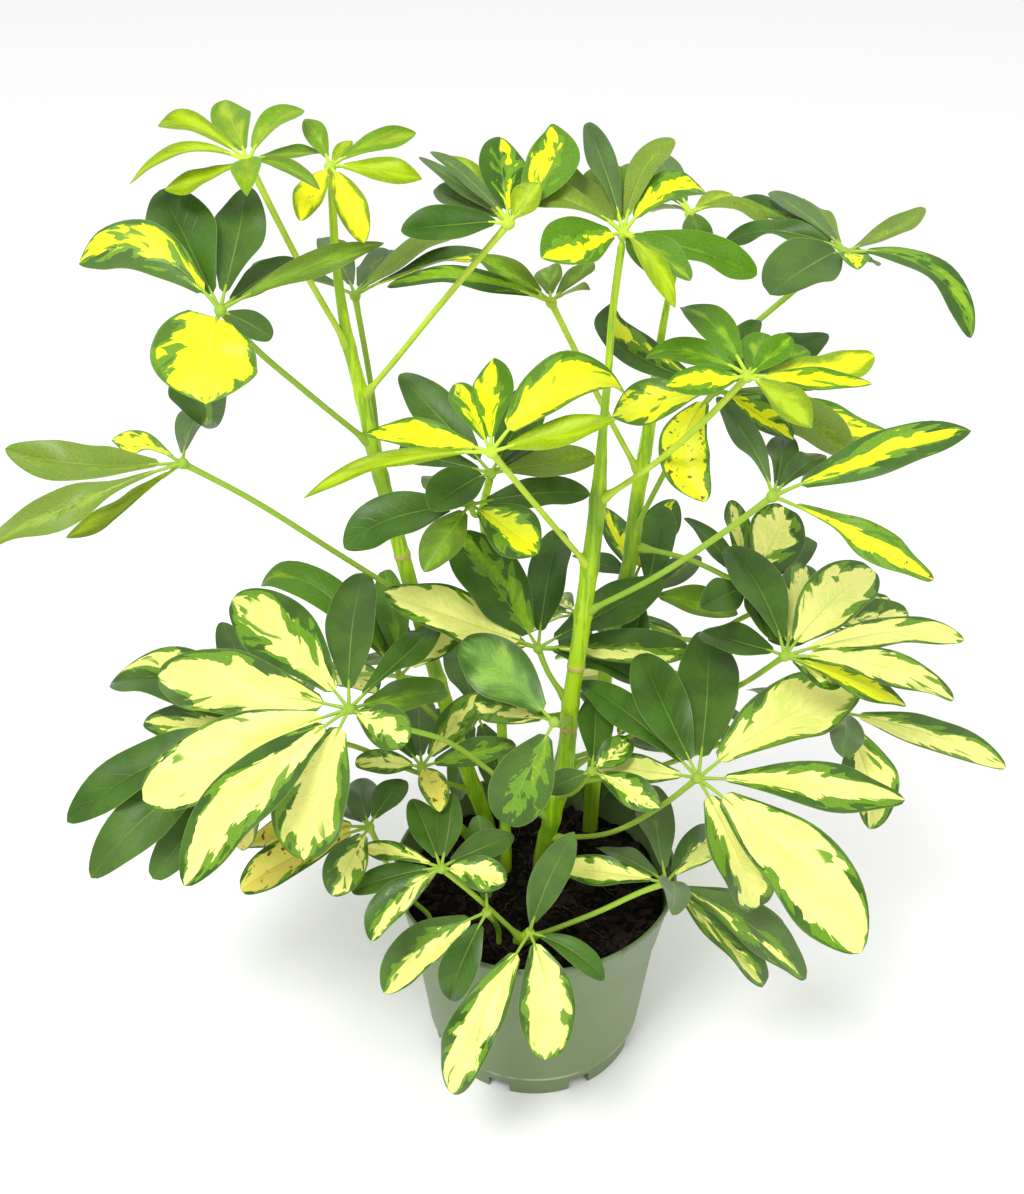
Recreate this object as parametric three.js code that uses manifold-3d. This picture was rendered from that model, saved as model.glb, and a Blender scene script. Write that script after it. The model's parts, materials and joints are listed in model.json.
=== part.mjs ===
// Potted umbrella plant: a green plastic nursery pot filled with soil, seven stems standing in it, and
// compound leaves whose leaflets spread from a hub like the ribs of an umbrella.
// Millimetres, +Z up, +Y away from the viewer. The origin is the centre of the pot's underside.

import * as THREE from 'three';
import { mergeVertices } from 'three/addons/utils/BufferGeometryUtils.js';
import loadManifold from 'manifold-3d';

const solids = await loadManifold();
solids.setup();

// Pot, in millimetres
const POT_HIGH = 116;
const RIM_RADIUS = 76;
const BAND_HIGH = 33;
const BAND_FOOT_RADIUS = 69;
const BODY_TOP_RADIUS = 67.6;
const BODY_FOOT_RADIUS = 59.5;
const RING_HIGH = 12;
const RING_RADIUS = 57;
const POT_WALL = 1.8;
const POT_SIDES = 36;
const DRAINS = 8;
const DRAIN_WIDE = 12;
const DRAIN_HIGH = 8;
const DRAIN_INNER_RADIUS = 47;
const DRAIN_TURN = 0.07;
const LIP_HIGH = 2.6;
const LIP_OUT = 1.2;
const STEP_HIGH = 1.4;
const ROUNDING = 0.7;

// Soil
const SOIL_TOP = 101;
const SOIL_RELIEF = 1.6;
const SOIL_RINGS = 4;
const SOIL_SIDES = 24;
const GAP = 0.35;
const HOLE_GAP = 0.5;
const HOLE_SIDES = 6;
const HOLE_ABOVE = 12;
const HOLE_BELOW = 4;
const ROOTED = 34;

// Stems
const STOUT = 3.5;
const STOUT_SIDES = 8;
const SLIM_SIDES = 6;

// Leaves
const BLADE_THICK = 1.3;
const PETIOLULE_RADIUS = 0.85;
const HUB_RADIUS = 3.9;
const PETIOLE_RADIUS = 1.5;
const PETIOLE_FOOT_RADIUS = 2.3;
const PETIOLE_SIDES = 4;
const WIDE_FOR_LENGTH = 0.42;
const LEAF_CLEARANCE = 0.45;
const FACES_VIEWER = 0.3;
const LEANS_OUT = 0.35;

// How leaflets differ, as shares of their length: arch, more arch where they hang, sickle bend and waved
// margin; as a share of half their width: fold; and twist in degrees
const ARCH = 0.03;
const ARCH_HANGING = 0.07;
const ARCH_VARIES = 0.03;
// How leaflets in a ring vary: their place, as a share of their spacing, and their length
const RING_STRAYS = 0.25;
const RING_SHORTEST = 0.8;
const RING_LONG_VARIES = 0.35;
const SICKLE = 0.06;
const WAVE = 0.02;
const WAVE_VARIES = 0.03;
const FOLD = 0.2;
const FOLD_VARIES = 0.2;
const TWIST = 24;

// How far a petiole is tried bent nearer or away, the turns in degrees that a leaflet is tried at, and the
// steps in depth, in millimetres, at which its tip is tried
const BENDS = [0, 6, -6, 12, -12, 18, -18, 26, -26, 36, -36, 48, -48];
const TURNS = [0, 22, -22];
const LEANS = [0, 6, -6, 12, -12, 18, -18, 26, -26, 34, 42, -34, 50, -42];
const DEPTH_STEP = 3.5;
const DEPTH_STEPS = 30;
const TIPS_TRIED = 34;
const LENGTH_VARIES = 0.22;
const DROOP_VARIES = 20;

// The photo and the place that it was taken from: picture size and focal length in pixels, the camera's
// place in millimetres, and how far it looks down and to the left
const PHOTO_WIDE = 1024;
const PHOTO_HIGH = 1194;
const FOCAL = 1400;
const CAMERA_AT = new THREE.Vector3(1, -559, 641);
const LOOKS_DOWN = THREE.MathUtils.degToRad(32.4);
const LOOKS_LEFT = THREE.MathUtils.degToRad(1.37);

const UP = new THREE.Vector3(0, 0, 1);
const FORWARD = new THREE.Vector3(
  -Math.sin(LOOKS_LEFT) * Math.cos(LOOKS_DOWN),
  Math.cos(LOOKS_LEFT) * Math.cos(LOOKS_DOWN),
  -Math.sin(LOOKS_DOWN));
const RIGHTWARD = new THREE.Vector3().crossVectors(FORWARD, UP).normalize();
const UPWARD = new THREE.Vector3().crossVectors(RIGHTWARD, FORWARD);

// The point that the photo shows at a column and row, where its depth (its y) is known
function seenAt(column, row, depth) {
  const sight = FORWARD.clone().multiplyScalar(FOCAL)
    .addScaledVector(RIGHTWARD, column - PHOTO_WIDE / 2)
    .addScaledVector(UPWARD, PHOTO_HIGH / 2 - row);
  return CAMERA_AT.clone().addScaledVector(sight, (depth - CAMERA_AT.y) / sight.y);
}

// The point of the soil's top that the photo shows at a column and row
function groundAt(column, row) {
  const sight = seenAt(column, row, 0).sub(CAMERA_AT);
  return CAMERA_AT.clone().addScaledVector(sight, (SOIL_TOP - CAMERA_AT.z) / sight.z);
}

// The column and row at which the photo shows a point
function photoPlace(point) {
  const away = point.clone().sub(CAMERA_AT);
  const scale = FOCAL / away.dot(FORWARD);
  return [PHOTO_WIDE / 2 + scale * away.dot(RIGHTWARD), PHOTO_HIGH / 2 - scale * away.dot(UPWARD)];
}

// Stems: column, row, depth and radius of points up each stem, from the soil to its tip
const STEMS = {
  stem_main: [[541, 870, 12, 4.6], [551, 822, 11, 4.6], [565, 765, 9, 4.4], [571, 700, 7, 4.2],
    [580, 640, 5, 4.2], [585, 600, 4, 4.2], [590, 565, 3, 4.2], [598, 500, 2, 3.8], [603, 430, 1, 2],
    [608, 373, 0, 1.7], [613, 310, 0, 1.6], [622, 243, 0, 1.6]],
  stem_left: [[490, 850, 28, 4.4], [464, 760, 30, 4.2], [432, 660, 32, 4], [405, 565, 34, 3.9],
    [390, 510, 36, 3.8], [374, 450, 37, 3.6], [363, 400, 38, 3.4], [348, 340, 39, 2.8],
    [337, 270, 40, 2], [331, 176, 40, 1.7]],
  stem_right: [[590, 830, 45, 4.3], [600, 720, 47, 4.1], [614, 620, 49, 4], [630, 560, 51, 3.9],
    [637, 500, 53, 3.7], [647, 440, 55, 3.4], [653, 400, 57, 2.7], [661, 338, 60, 1.9],
    [668, 300, 64, 1.6], [688, 222, 72, 1.5]],
  stem_front: [[519, 946, -43, 3.2], [522, 940, -48, 3], [528, 934, -56, 2.6]],
  stem_middle: [[506, 862, 12, 3.2], [503, 760, 34, 2.8], [497, 640, 54, 2.5], [489, 570, 57, 2.3],
    [485, 535, 47, 2.1], [483, 510, 28, 2], [490, 478, 10, 1.8]],
  stem_low_left: [[472, 852, 26, 2.8], [452, 820, 14, 2.6], [437, 800, 4, 2.4], [424, 772, -2, 2.2]],
  stem_back: [[550, 815, 50, 4], [564, 745, 64, 3.4], [572, 680, 84, 2.8], [577, 622, 104, 2.2]],
};

// Compound leaves. from: where the petiole leaves its stem, in columns and rows; with no stem it stands in
// the soil. via: places that it passes. hub: column, row and depth. long and droop: the usual length and
// elevation of its leaflets. leaflets: column and row of each tip, with its own width, roll and side of the
// hub where they aren't the usual ones. mid: where the photo shows the middle of its midrib. full: its blade
// is broad right from the hub. ring: a number of leaflets all round instead.
const NEAR = -1;
const FAR = 1;
const LEAVES = [
  { name: 'leaf_crown_left', stem: 'stem_left', from: [343, 352], via: [[296, 256]],
    hub: [248, 161, 20], long: 48, faces: 0.25, droop: -12, leaflets: [
      [130, 184, { wide: 12, mid: [187, 149] }], [158, 126, { wide: 14, mid: [195, 125] }],
      [226, 100, { wide: 18 }], [303, 110, { wide: 15, mid: [272, 123] }], [322, 153, { wide: 12 }],
      [165, 190, { side: NEAR, wide: 14, mid: [203, 178] }], [247, 196, { side: NEAR, wide: 14 }],
      [320, 190, { side: NEAR, wide: 9 }]] },
  { name: 'leaf_crown_tip', stem: 'stem_left', from: [330, 176], tipped: true,
    hub: [329, 173, 40], long: 40, faces: 0.5, droop: -8, leaflets: [
      [305, 119, { wide: 11 }], [416, 133, { wide: 12 }], [422, 179, { side: NEAR, wide: 14 }],
      [300, 221, { side: NEAR, wide: 14 }], [364, 243, { side: NEAR, wide: 15, arch: 0.18 }],
      [352, 141, { wide: 7, long: 24 }]] },
  { name: 'leaf_upper_left', stem: 'stem_left', from: [363, 448], via: [[304, 390], [254, 347]],
    hub: [220, 310, -8], long: 64, faces: 0.7, droop: -14, leaflets: [
      [79, 264, { wide: 24, mid: [152, 251] }], [160, 190, { wide: 30 }], [246, 187, { wide: 22 }],
      [206, 404, { side: NEAR, wide: 47, full: true, mid: [207, 352] }],
      [384, 243, { wide: 11, mid: [305, 268] }],
      [300, 262, { wide: 14, side: FAR }], [206, 428, { side: FAR, wide: 28 }],
      [272, 338, { side: NEAR, wide: 13, long: 40 }]] },
  { name: 'leaf_behind_left', stem: 'stem_left', from: [382, 476], via: [[373, 400]],
    hub: [355, 295, 62], long: 58, faces: 0.25, droop: -10, leaflets: [
      [250, 268, { wide: 15 }], [389, 250, { wide: 16 }], [487, 252, { wide: 16, mid: [424, 264] }],
      [468, 224, { wide: 18 }], [322, 238, { wide: 15 }]] },
  { name: 'leaf_crown_middle', stem: 'stem_left', from: [366, 395], via: [[380, 378], [440, 305]],
    hub: [509, 223, -6], long: 46, faces: 0.4, droop: -8, thick: 1.9, leaflets: [
      [401, 231, { wide: 19 }], [436, 188, { wide: 17 }], [419, 157, { wide: 10 }],
      [446, 156, { wide: 12, side: FAR }], [430, 152, { wide: 8 }],
      [500, 137, { wide: 21, side: FAR }], [554, 124, { wide: 22, side: FAR, mid: [551, 166] }],
      [540, 183, { wide: 14, side: FAR, long: 24 }], [423, 232, { side: FAR, wide: 13 }]] },
  { name: 'leaf_crown_top', stem: 'stem_main', from: [622, 243], tipped: true,
    hub: [622, 240, 0], long: 52, faces: 0.4, droop: -10, leaflets: [
      [541, 258, { wide: 28, side: NEAR }], [497, 207, { wide: 16, arch: 0.2 }],
      [534, 160, { wide: 21 }], [587, 123, { wide: 12, long: 50, side: FAR, mid: [604, 166] }],
      [674, 139, { wide: 13, side: FAR, mid: [641, 174] }], [706, 193, { wide: 19, arch: 0.18 }],
      [690, 281, { wide: 17, side: NEAR }], [757, 275, { wide: 19 }],
      [654, 274, { wide: 15, side: NEAR, long: 30 }], [675, 308, { wide: 10, side: NEAR }],
      [604, 165, { wide: 26, side: FAR, long: 40 }]] },
  { name: 'leaf_crown_back', stem: 'stem_right', from: [688, 222], tipped: true,
    hub: [690, 217, 73], long: 46, faces: 0.3, droop: -4, leaflets: [
      [652, 212, { wide: 11 }], [732, 194, { wide: 12 }], [770, 228, { wide: 13, side: NEAR, arch: 0.2 }],
      [655, 150, { wide: 15 }], [704, 262, { wide: 14, side: NEAR }], [622, 166, { wide: 15 }]] },
  { name: 'leaf_upper_right', stem: 'stem_right', from: [655, 415],
    via: [[700, 372], [751, 327], [783, 300], [822, 268]],
    hub: [845, 252, 48], long: 60, faces: 0.35, droop: -14, leaflets: [
      [971, 338, { wide: 18, mid: [923, 264] }], [925, 208, { wide: 12, mid: [884, 234] }],
      [858, 270, { side: NEAR, wide: 14, long: 28 }], [878, 266, { side: FAR, wide: 10, long: 28 }],
      [770, 295, { wide: 31, side: NEAR, arch: 0.12 }], [724, 243, { wide: 15, arch: 0.14 }],
      [738, 200, { wide: 15 }], [770, 192, { wide: 14, side: FAR }], [806, 200, { wide: 12, side: FAR }]] },
  { name: 'leaf_crown_right', stem: 'stem_right', from: [637, 473], via: [[615, 429], [579, 358]],
    hub: [551, 302, 44], long: 50, faces: 0.3, droop: -6, leaflets: [
      [469, 256, { wide: 15 }], [387, 287, { wide: 14, mid: [465, 278] }],
      [548, 267, { wide: 15, side: FAR }],
      [592, 261, { wide: 13 }], [590, 290, { wide: 9, side: NEAR }], [480, 284, { wide: 9 }]] },
  { name: 'leaf_right_front', stem: 'stem_main', from: [592, 612], via: [[650, 580], [720, 535]],
    hub: [773, 496, -58], long: 74, faces: 0.4, droop: -10, leaflets: [
      [717, 397, { wide: 12, mid: [752, 446] }], [824, 455, { wide: 12 }],
      [971, 431, { wide: 20, mid: [882, 453] }], [934, 580, { wide: 14, side: NEAR, mid: [861, 536] }],
      [784, 437, { wide: 15 }]] },
  { name: 'leaf_right_fan', stem: 'stem_main', from: [603, 500], via: [[650, 467], [700, 425]],
    hub: [748, 376, -42], long: 54, faces: 0.4, droop: -8, leaflets: [
      [684, 307, { wide: 18, arch: 0.13 }], [808, 350, { wide: 14 }],
      [874, 355, { wide: 17, arch: 0.04, mid: [820, 372] }],
      [872, 384, { side: FAR, wide: 11, arch: 0.02 }], [812, 428, { side: NEAR, wide: 16 }],
      [646, 357, { wide: 14, arch: 0.14 }], [666, 386, { side: NEAR, wide: 15 }],
      [764, 333, { wide: 16, long: 26 }], [790, 336, { wide: 13, long: 34, side: FAR }]] },
  { name: 'leaf_middle_fan', stem: 'stem_main', from: [588, 567], via: [[540, 510]],
    hub: [491, 452, -46], long: 60, faces: 0.4, droop: -8, leaflets: [
      [494, 358, { wide: 18 }], [455, 384, { wide: 14 }], [626, 395, { wide: 27, mid: [562, 381] }],
      [616, 420, { wide: 15, side: NEAR }], [365, 434, { wide: 16 }],
      [304, 498, { wide: 9, side: NEAR, mid: [394, 459] }]] },
  { name: 'leaf_right_high', stem: 'stem_right', from: [632, 530], via: [[667, 468], [692, 420]],
    hub: [716, 390, 14], long: 66, faces: 0.4, droop: -14, leaflets: [
      [706, 502, { side: NEAR, wide: 25, mid: [684, 440] }], [850, 455, { wide: 24, side: NEAR }],
      [889, 432, { wide: 22, mid: [808, 419] }], [612, 417, { wide: 25 }],
      [613, 302, { wide: 21, side: FAR, mid: [629, 347] }],
      [828, 334, { wide: 18, side: FAR }], [757, 320, { wide: 16, side: FAR }],
      [793, 440, { wide: 20, side: NEAR }]] },
  { name: 'leaf_centre_front', stem: 'stem_main', from: [566, 702], via: [[548, 672]],
    hub: [538, 648, 14], long: 76, faces: 0.5, droop: -12, leaflets: [
      [454, 535, { wide: 34 }], [560, 529, { wide: 22 }], [664, 579, { wide: 24, side: FAR }],
      [690, 650, { wide: 21, side: FAR }], [638, 682, { wide: 18, side: FAR }],
      [384, 592, { wide: 30, side: NEAR }], [438, 626, { wide: 20, side: NEAR }]] },
  { name: 'leaf_centre_glossy', stem: 'stem_main', from: [570, 716],
    hub: [554, 722, -34], long: 60, faces: 0.6, droop: -22, leaflets: [
      [462, 641, { wide: 31 }], [506, 824, { side: NEAR, wide: 31 }],
      [474, 702, { wide: 22, side: FAR }]] },
  { name: 'leaf_left_broad', stem: 'stem_main', from: [550, 818],
    via: [[527, 803], [491, 772], [439, 738], [407, 729]],
    hub: [349, 709, -50], long: 92, faces: 0.6, droop: -16, thick: 1.7, leaflets: [
      [232, 600, { wide: 34 }], [158, 676, { wide: 34 }], [143, 800, { wide: 37 }],
      [184, 886, { wide: 30, side: NEAR }], [304, 860, { wide: 37, side: NEAR }],
      [408, 742, { wide: 23, side: NEAR }], [363, 573, { wide: 26 }], [441, 620, { wide: 15 }],
      [446, 690, { wide: 18 }]] },
  { name: 'leaf_low_right_broad', stem: 'stem_main', from: [549, 838], via: [[600, 835], [661, 806]],
    hub: [698, 778, -52], long: 98, faces: 0.6, droop: -16, thick: 1.7, leaflets: [
      [593, 763, { wide: 17 }], [578, 682, { wide: 18 }], [640, 654, { wide: 27 }],
      [708, 634, { wide: 31 }], [855, 688, { wide: 35, mid: [781, 718] }],
      [905, 800, { wide: 24, mid: [803, 784] }], [861, 953, { wide: 42, side: NEAR, mid: [790, 857] }],
      [758, 907, { wide: 28, side: NEAR }]] },
  { name: 'leaf_low_right', stem: 'stem_front', from: [524, 939], via: [[600, 911], [646, 890]],
    hub: [666, 883, -46], long: 78, faces: 0.5, droop: -14, leaflets: [
      [652, 785, { wide: 21 }], [598, 848, { wide: 14 }], [672, 915, { side: NEAR, wide: 16 }],
      [722, 832, { wide: 20 }], [785, 925, { wide: 17 }], [806, 979, { wide: 23, side: NEAR }],
      [765, 984, { wide: 20, side: NEAR }], [556, 868, { wide: 17, side: FAR }]] },
  { name: 'leaf_front_fan', stem: 'stem_front', from: [523, 938], via: [[474, 895]],
    hub: [441, 868, -62], long: 46, faces: 0.5, droop: -12, leaflets: [
      [412, 799, { wide: 17 }], [452, 793, { wide: 14 }], [514, 836, { wide: 17 }],
      [507, 880, { wide: 19, side: NEAR }], [362, 847, { wide: 11 }], [352, 892, { wide: 15 }],
      [371, 941, { side: NEAR, wide: 19, mid: [395, 899] }], [404, 900, { side: NEAR, wide: 14 }]] },
  { name: 'leaf_front_drop', stem: 'stem_front', from: [528, 934], tipped: true,
    hub: [529, 930, -58], long: 70, faces: 0.5, droop: -38, leaflets: [
      [450, 1092, { side: NEAR, wide: 26, arch: 0.24 }],
      [545, 1060, { side: NEAR, wide: 29, mid: [545, 985] }],
      [545, 857, { wide: 12, droop: 30 }], [574, 832, { wide: 18, side: FAR, droop: 40 }],
      [604, 980, { wide: 14, side: NEAR, arch: 0.2, droop: -5 }]] },
  { name: 'leaf_front_left', from: [499, 942],
    hub: [487, 912, -60], long: 56, faces: 0.5, droop: -28, leaflets: [
      [384, 993, { side: NEAR, wide: 24, mid: [424, 945] }],
      [450, 1000, { side: NEAR, wide: 21, arch: 0.2 }],
      [478, 815, { wide: 20, side: FAR, droop: 30 }]] },
  { name: 'leaf_left_far', stem: 'stem_left', from: [408, 600], via: [[372, 575], [340, 555], [240, 493]],
    hub: [182, 463, -22], long: 86, faces: 0.4, droop: -10, leaflets: [
      [5, 449, { wide: 21, mid: [92, 464] }], [-18, 552, { wide: 16, side: NEAR, mid: [80, 500] }],
      [66, 538, { wide: 12, side: NEAR, mid: [128, 502] }],
      [112, 440, { wide: 12, side: FAR }], [211, 402, { wide: 17 }]] },
  { name: 'leaf_right_spray', stem: 'stem_main', from: [568, 768], via: [[640, 731], [735, 688]],
    hub: [785, 656, -24], long: 78, faces: 0.5, droop: -10, leaflets: [
      [727, 547, { wide: 26, mid: [763, 592] }], [872, 569, { wide: 31 }],
      [964, 640, { wide: 15, mid: [880, 633] }], [954, 700, { wide: 17, side: NEAR, mid: [876, 664] }],
      [906, 706, { wide: 14, side: NEAR }], [701, 632, { wide: 19 }],
      [842, 684, { side: NEAR, wide: 17 }], [806, 566, { wide: 24, side: FAR }]] },
  { name: 'leaf_left_under', stem: 'stem_left', from: [470, 790], via: [[410, 770], [350, 745]],
    hub: [290, 735, -16], long: 92, faces: 0.4, droop: -18, leaflets: [
      [67, 822, { wide: 28, mid: [175, 753] }],
      [91, 878, { wide: 28, side: NEAR, mid: [180, 789] }],
      [153, 879, { wide: 24, side: NEAR, mid: [216, 800] }],
      [111, 683, { wide: 34, mid: [190, 681] }], [222, 622, { wide: 22 }], [144, 722, { wide: 22 }],
      [240, 850, { wide: 22, side: NEAR }]] },
  { name: 'leaf_left_inner', stem: 'stem_left', from: [452, 730], via: [[430, 712]],
    hub: [400, 676, 12], long: 60, faces: 0.4, droop: -10, leaflets: [
      [262, 583, { wide: 22, mid: [324, 592] }], [326, 586, { wide: 16 }], [385, 570, { wide: 18 }],
      [392, 614, { wide: 18, side: NEAR }], [470, 600, { wide: 22 }]] },
  { name: 'leaf_low_left', from: [430, 922], via: [[412, 900]],
    hub: [369, 827, -42], long: 66, faces: 0.4, droop: -16, leaflets: [
      [241, 890, { wide: 25, side: NEAR, mid: [300, 852] }], [246, 846, { wide: 20 }],
      [332, 896, { side: NEAR, wide: 24 }],
      [340, 803, { wide: 14 }], [362, 778, { wide: 18 }], [404, 780, { wide: 18 }]] },
  { name: 'leaf_low_inner', stem: 'stem_low_left', from: [424, 772], tipped: true,
    hub: [426, 766, -4], long: 46, faces: 0.4, droop: -6, leaflets: [
      [516, 745, { wide: 17 }], [440, 812, { wide: 16, side: NEAR }], [420, 693, { wide: 20 }],
      [482, 692, { wide: 20 }], [355, 763, { wide: 15 }], [372, 706, { wide: 17, side: FAR }]] },
  { name: 'leaf_middle_back', stem: 'stem_middle', from: [484, 511],
    hub: [470, 505, -2], long: 62, faces: 0.4, droop: -12, leaflets: [
      [344, 548, { wide: 24, mid: [399, 515] }], [424, 572, { wide: 20, side: NEAR }],
      [538, 554, { wide: 28, side: NEAR }],
      [432, 476, { wide: 24 }], [590, 494, { wide: 16 }]] },
  { name: 'leaf_middle_tip', stem: 'stem_middle', from: [490, 478], tipped: true,
    hub: [490, 475, 10], long: 54, faces: 0.4, droop: -6, leaflets: [
      [400, 374, { wide: 22 }], [536, 386, { wide: 22, side: FAR }], [400, 446, { wide: 16 }],
      [548, 440, { wide: 17 }], [596, 458, { wide: 18 }], [430, 510, { wide: 24, side: NEAR }]] },
  { name: 'leaf_right_behind', stem: 'stem_right', from: [618, 606], via: [[690, 640], [770, 610]],
    hub: [826, 625, 34], long: 54, faces: 0.4, droop: -12, leaflets: [
      [889, 598, { wide: 15 }], [908, 612, { wide: 20 }], [800, 565, { wide: 18 }],
      [872, 668, { wide: 15, side: NEAR }], [768, 640, { wide: 18, side: NEAR }]] },
  { name: 'leaf_right_long', stem: 'stem_main', from: [562, 782], via: [[640, 772], [735, 739]],
    hub: [838, 712, 16], long: 84, faces: 0.4, droop: -12, leaflets: [
      [1006, 768, { wide: 21, mid: [922, 731] }], [869, 829, { wide: 30, side: NEAR, mid: [866, 765] }],
      [748, 690, { wide: 20 }],
      [842, 757, { wide: 20, side: NEAR }]] },
  { name: 'leaf_right_middle', stem: 'stem_right', from: [636, 545], via: [[690, 560]],
    hub: [748, 588, 28], long: 56, faces: 0.4, droop: -6, leaflets: [
      [731, 500, { wide: 14, side: FAR }], [684, 518, { wide: 12, side: FAR }],
      [787, 508, { wide: 31, side: FAR }], [700, 608, { wide: 20 }],
      [813, 540, { wide: 20 }], [771, 640, { wide: 18, side: NEAR }]] },
  { name: 'leaf_centre_right', stem: 'stem_right', from: [614, 625],
    hub: [646, 596, 42], long: 50, faces: 0.4, droop: -8, leaflets: [
      [738, 614, { wide: 20 }], [700, 556, { wide: 16 }], [664, 506, { wide: 20, side: FAR }],
      [628, 668, { wide: 18, side: NEAR }]] },
  { name: 'leaf_centre_back', stem: 'stem_right', from: [625, 598],
    hub: [634, 579, 60], long: 44, faces: 0.4, droop: -4, leaflets: [
      [676, 500, { wide: 22 }], [602, 506, { wide: 17, side: FAR }], [572, 556, { wide: 17, side: FAR }]] },
  { name: 'leaf_centre_low', stem: 'stem_main', from: [558, 795],
    hub: [592, 771, -26], long: 48, faces: 0.5, droop: -6, leaflets: [
      [545, 792, { wide: 14 }], [596, 697, { wide: 20 }], [660, 808, { wide: 18, side: FAR }],
      [630, 740, { wide: 17 }]] },
  { name: 'leaf_back_left', stem: 'stem_left', from: [440, 680],
    hub: [322, 672, 104], long: 62, droop: -16, ring: 6 },
  { name: 'leaf_back_top', stem: 'stem_back', from: [577, 622], tipped: true,
    hub: [577, 620, 104], long: 60, droop: -12, ring: 7 },
  { name: 'leaf_back_middle', stem: 'stem_back', from: [572, 680],
    hub: [655, 668, 158], long: 68, droop: -16, ring: 7 },
  { name: 'leaf_back_side', stem: 'stem_back', from: [569, 715],
    hub: [478, 716, 72], long: 56, faces: 0.2, droop: -14, leaflets: [
      [450, 640, { wide: 20, side: FAR }], [506, 652, { wide: 20, side: FAR }], [542, 700, { wide: 18 }],
      [502, 796, { wide: 20, side: NEAR }], [458, 800, { wide: 20, side: NEAR }], [414, 722, { wide: 18 }]] },
  { name: 'leaf_back_low', stem: 'stem_back', from: [562, 760],
    hub: [614, 742, 80], long: 54, faces: 0.2, droop: -14, leaflets: [
      [574, 690, { wide: 18, side: FAR }], [640, 694, { wide: 20, side: FAR }], [664, 752, { wide: 18 }],
      [636, 808, { wide: 20, side: NEAR }], [588, 806, { wide: 18, side: NEAR }]] },
];

// Colours
const POT_GREEN = 0x6f8761;
const SOIL_BROWN = 0x1c1613;
const STEM_GREEN = 0x8fae3a;
const LEAF_GREEN = 0x4d7a35;
const CROWN_GREEN = 0x9cc22a;
const CROWN_HIGH = 400;

// A number from 0 to 1 that is always the same for the same name and turn
function settled(name, turn) {
  let hash = 2166136261 ^ (turn * 374761393);
  for (const letter of name) hash = Math.imul(hash ^ letter.charCodeAt(0), 16777619);
  hash = Math.imul(hash ^ (hash >>> 15), 2246822519);
  hash = Math.imul(hash ^ (hash >>> 13), 3266489917);
  return ((hash ^ (hash >>> 16)) >>> 0) / 4294967296;
}

// A closed solid from points and triangles, and back to a geometry
function solidOf(points, triangles) {
  const vertProperties = new Float32Array(points.flatMap((point) => [point.x, point.y, point.z]));
  const triVerts = new Uint32Array(triangles.flat());
  return new solids.Manifold(new solids.Mesh({ numProp: 3, vertProperties, triVerts }));
}

function solidFromGeometry(geometry) {
  const bare = geometry.clone();
  bare.deleteAttribute('normal');
  bare.deleteAttribute('uv');
  const merged = mergeVertices(bare, 1e-4);
  return new solids.Manifold(new solids.Mesh({
    numProp: 3,
    vertProperties: new Float32Array(merged.attributes.position.array),
    triVerts: new Uint32Array(merged.index.array),
  }));
}

function geometryFrom(solid) {
  const mesh = solid.getMesh();
  const geometry = new THREE.BufferGeometry();
  geometry.setAttribute('position', new THREE.BufferAttribute(new Float32Array(mesh.vertProperties), 3));
  geometry.setIndex(new THREE.BufferAttribute(new Uint32Array(mesh.triVerts), 1));
  return geometry.toNonIndexed();
}

// Triangles that join rings of equally many points into a closed skin, with flat ends or a pointed tip
function skinOf(rings, sides, tip) {
  const triangles = [];
  for (let ring = 0; ring + 1 < rings; ring++) {
    for (let side = 0; side < sides; side++) {
      const here = ring * sides + side;
      const next = ring * sides + (side + 1) % sides;
      triangles.push([here, next, next + sides], [here, next + sides, here + sides]);
    }
  }
  for (let side = 1; side + 1 < sides; side++) triangles.push([0, side + 1, side]);
  const last = (rings - 1) * sides;
  if (tip) {
    for (let side = 0; side < sides; side++) {
      triangles.push([last + side, last + (side + 1) % sides, rings * sides]);
    }
  } else {
    for (let side = 1; side + 1 < sides; side++) triangles.push([last, last + side, last + side + 1]);
  }
  return triangles;
}

// A tapering stalk through a row of points, each with its radius
function stalk(row, sides) {
  const points = [];
  let across = null;
  row.forEach(({ point, radius }, index) => {
    const before = row[Math.max(0, index - 1)].point;
    const after = row[Math.min(row.length - 1, index + 1)].point;
    const heading = after.clone().sub(before).normalize();
    if (across === null) {
      const helper = Math.abs(heading.z) > 0.9 ? new THREE.Vector3(1, 0, 0) : UP;
      across = new THREE.Vector3().crossVectors(helper, heading).normalize();
    }
    across.addScaledVector(heading, -across.dot(heading)).normalize();
    const other = new THREE.Vector3().crossVectors(heading, across);
    for (let side = 0; side < sides; side++) {
      const turn = (side / sides) * Math.PI * 2;
      points.push(point.clone()
        .addScaledVector(across, radius * Math.cos(turn))
        .addScaledVector(other, radius * Math.sin(turn)));
    }
  });
  return solidOf(points, skinOf(row.length, sides, false));
}

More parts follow.
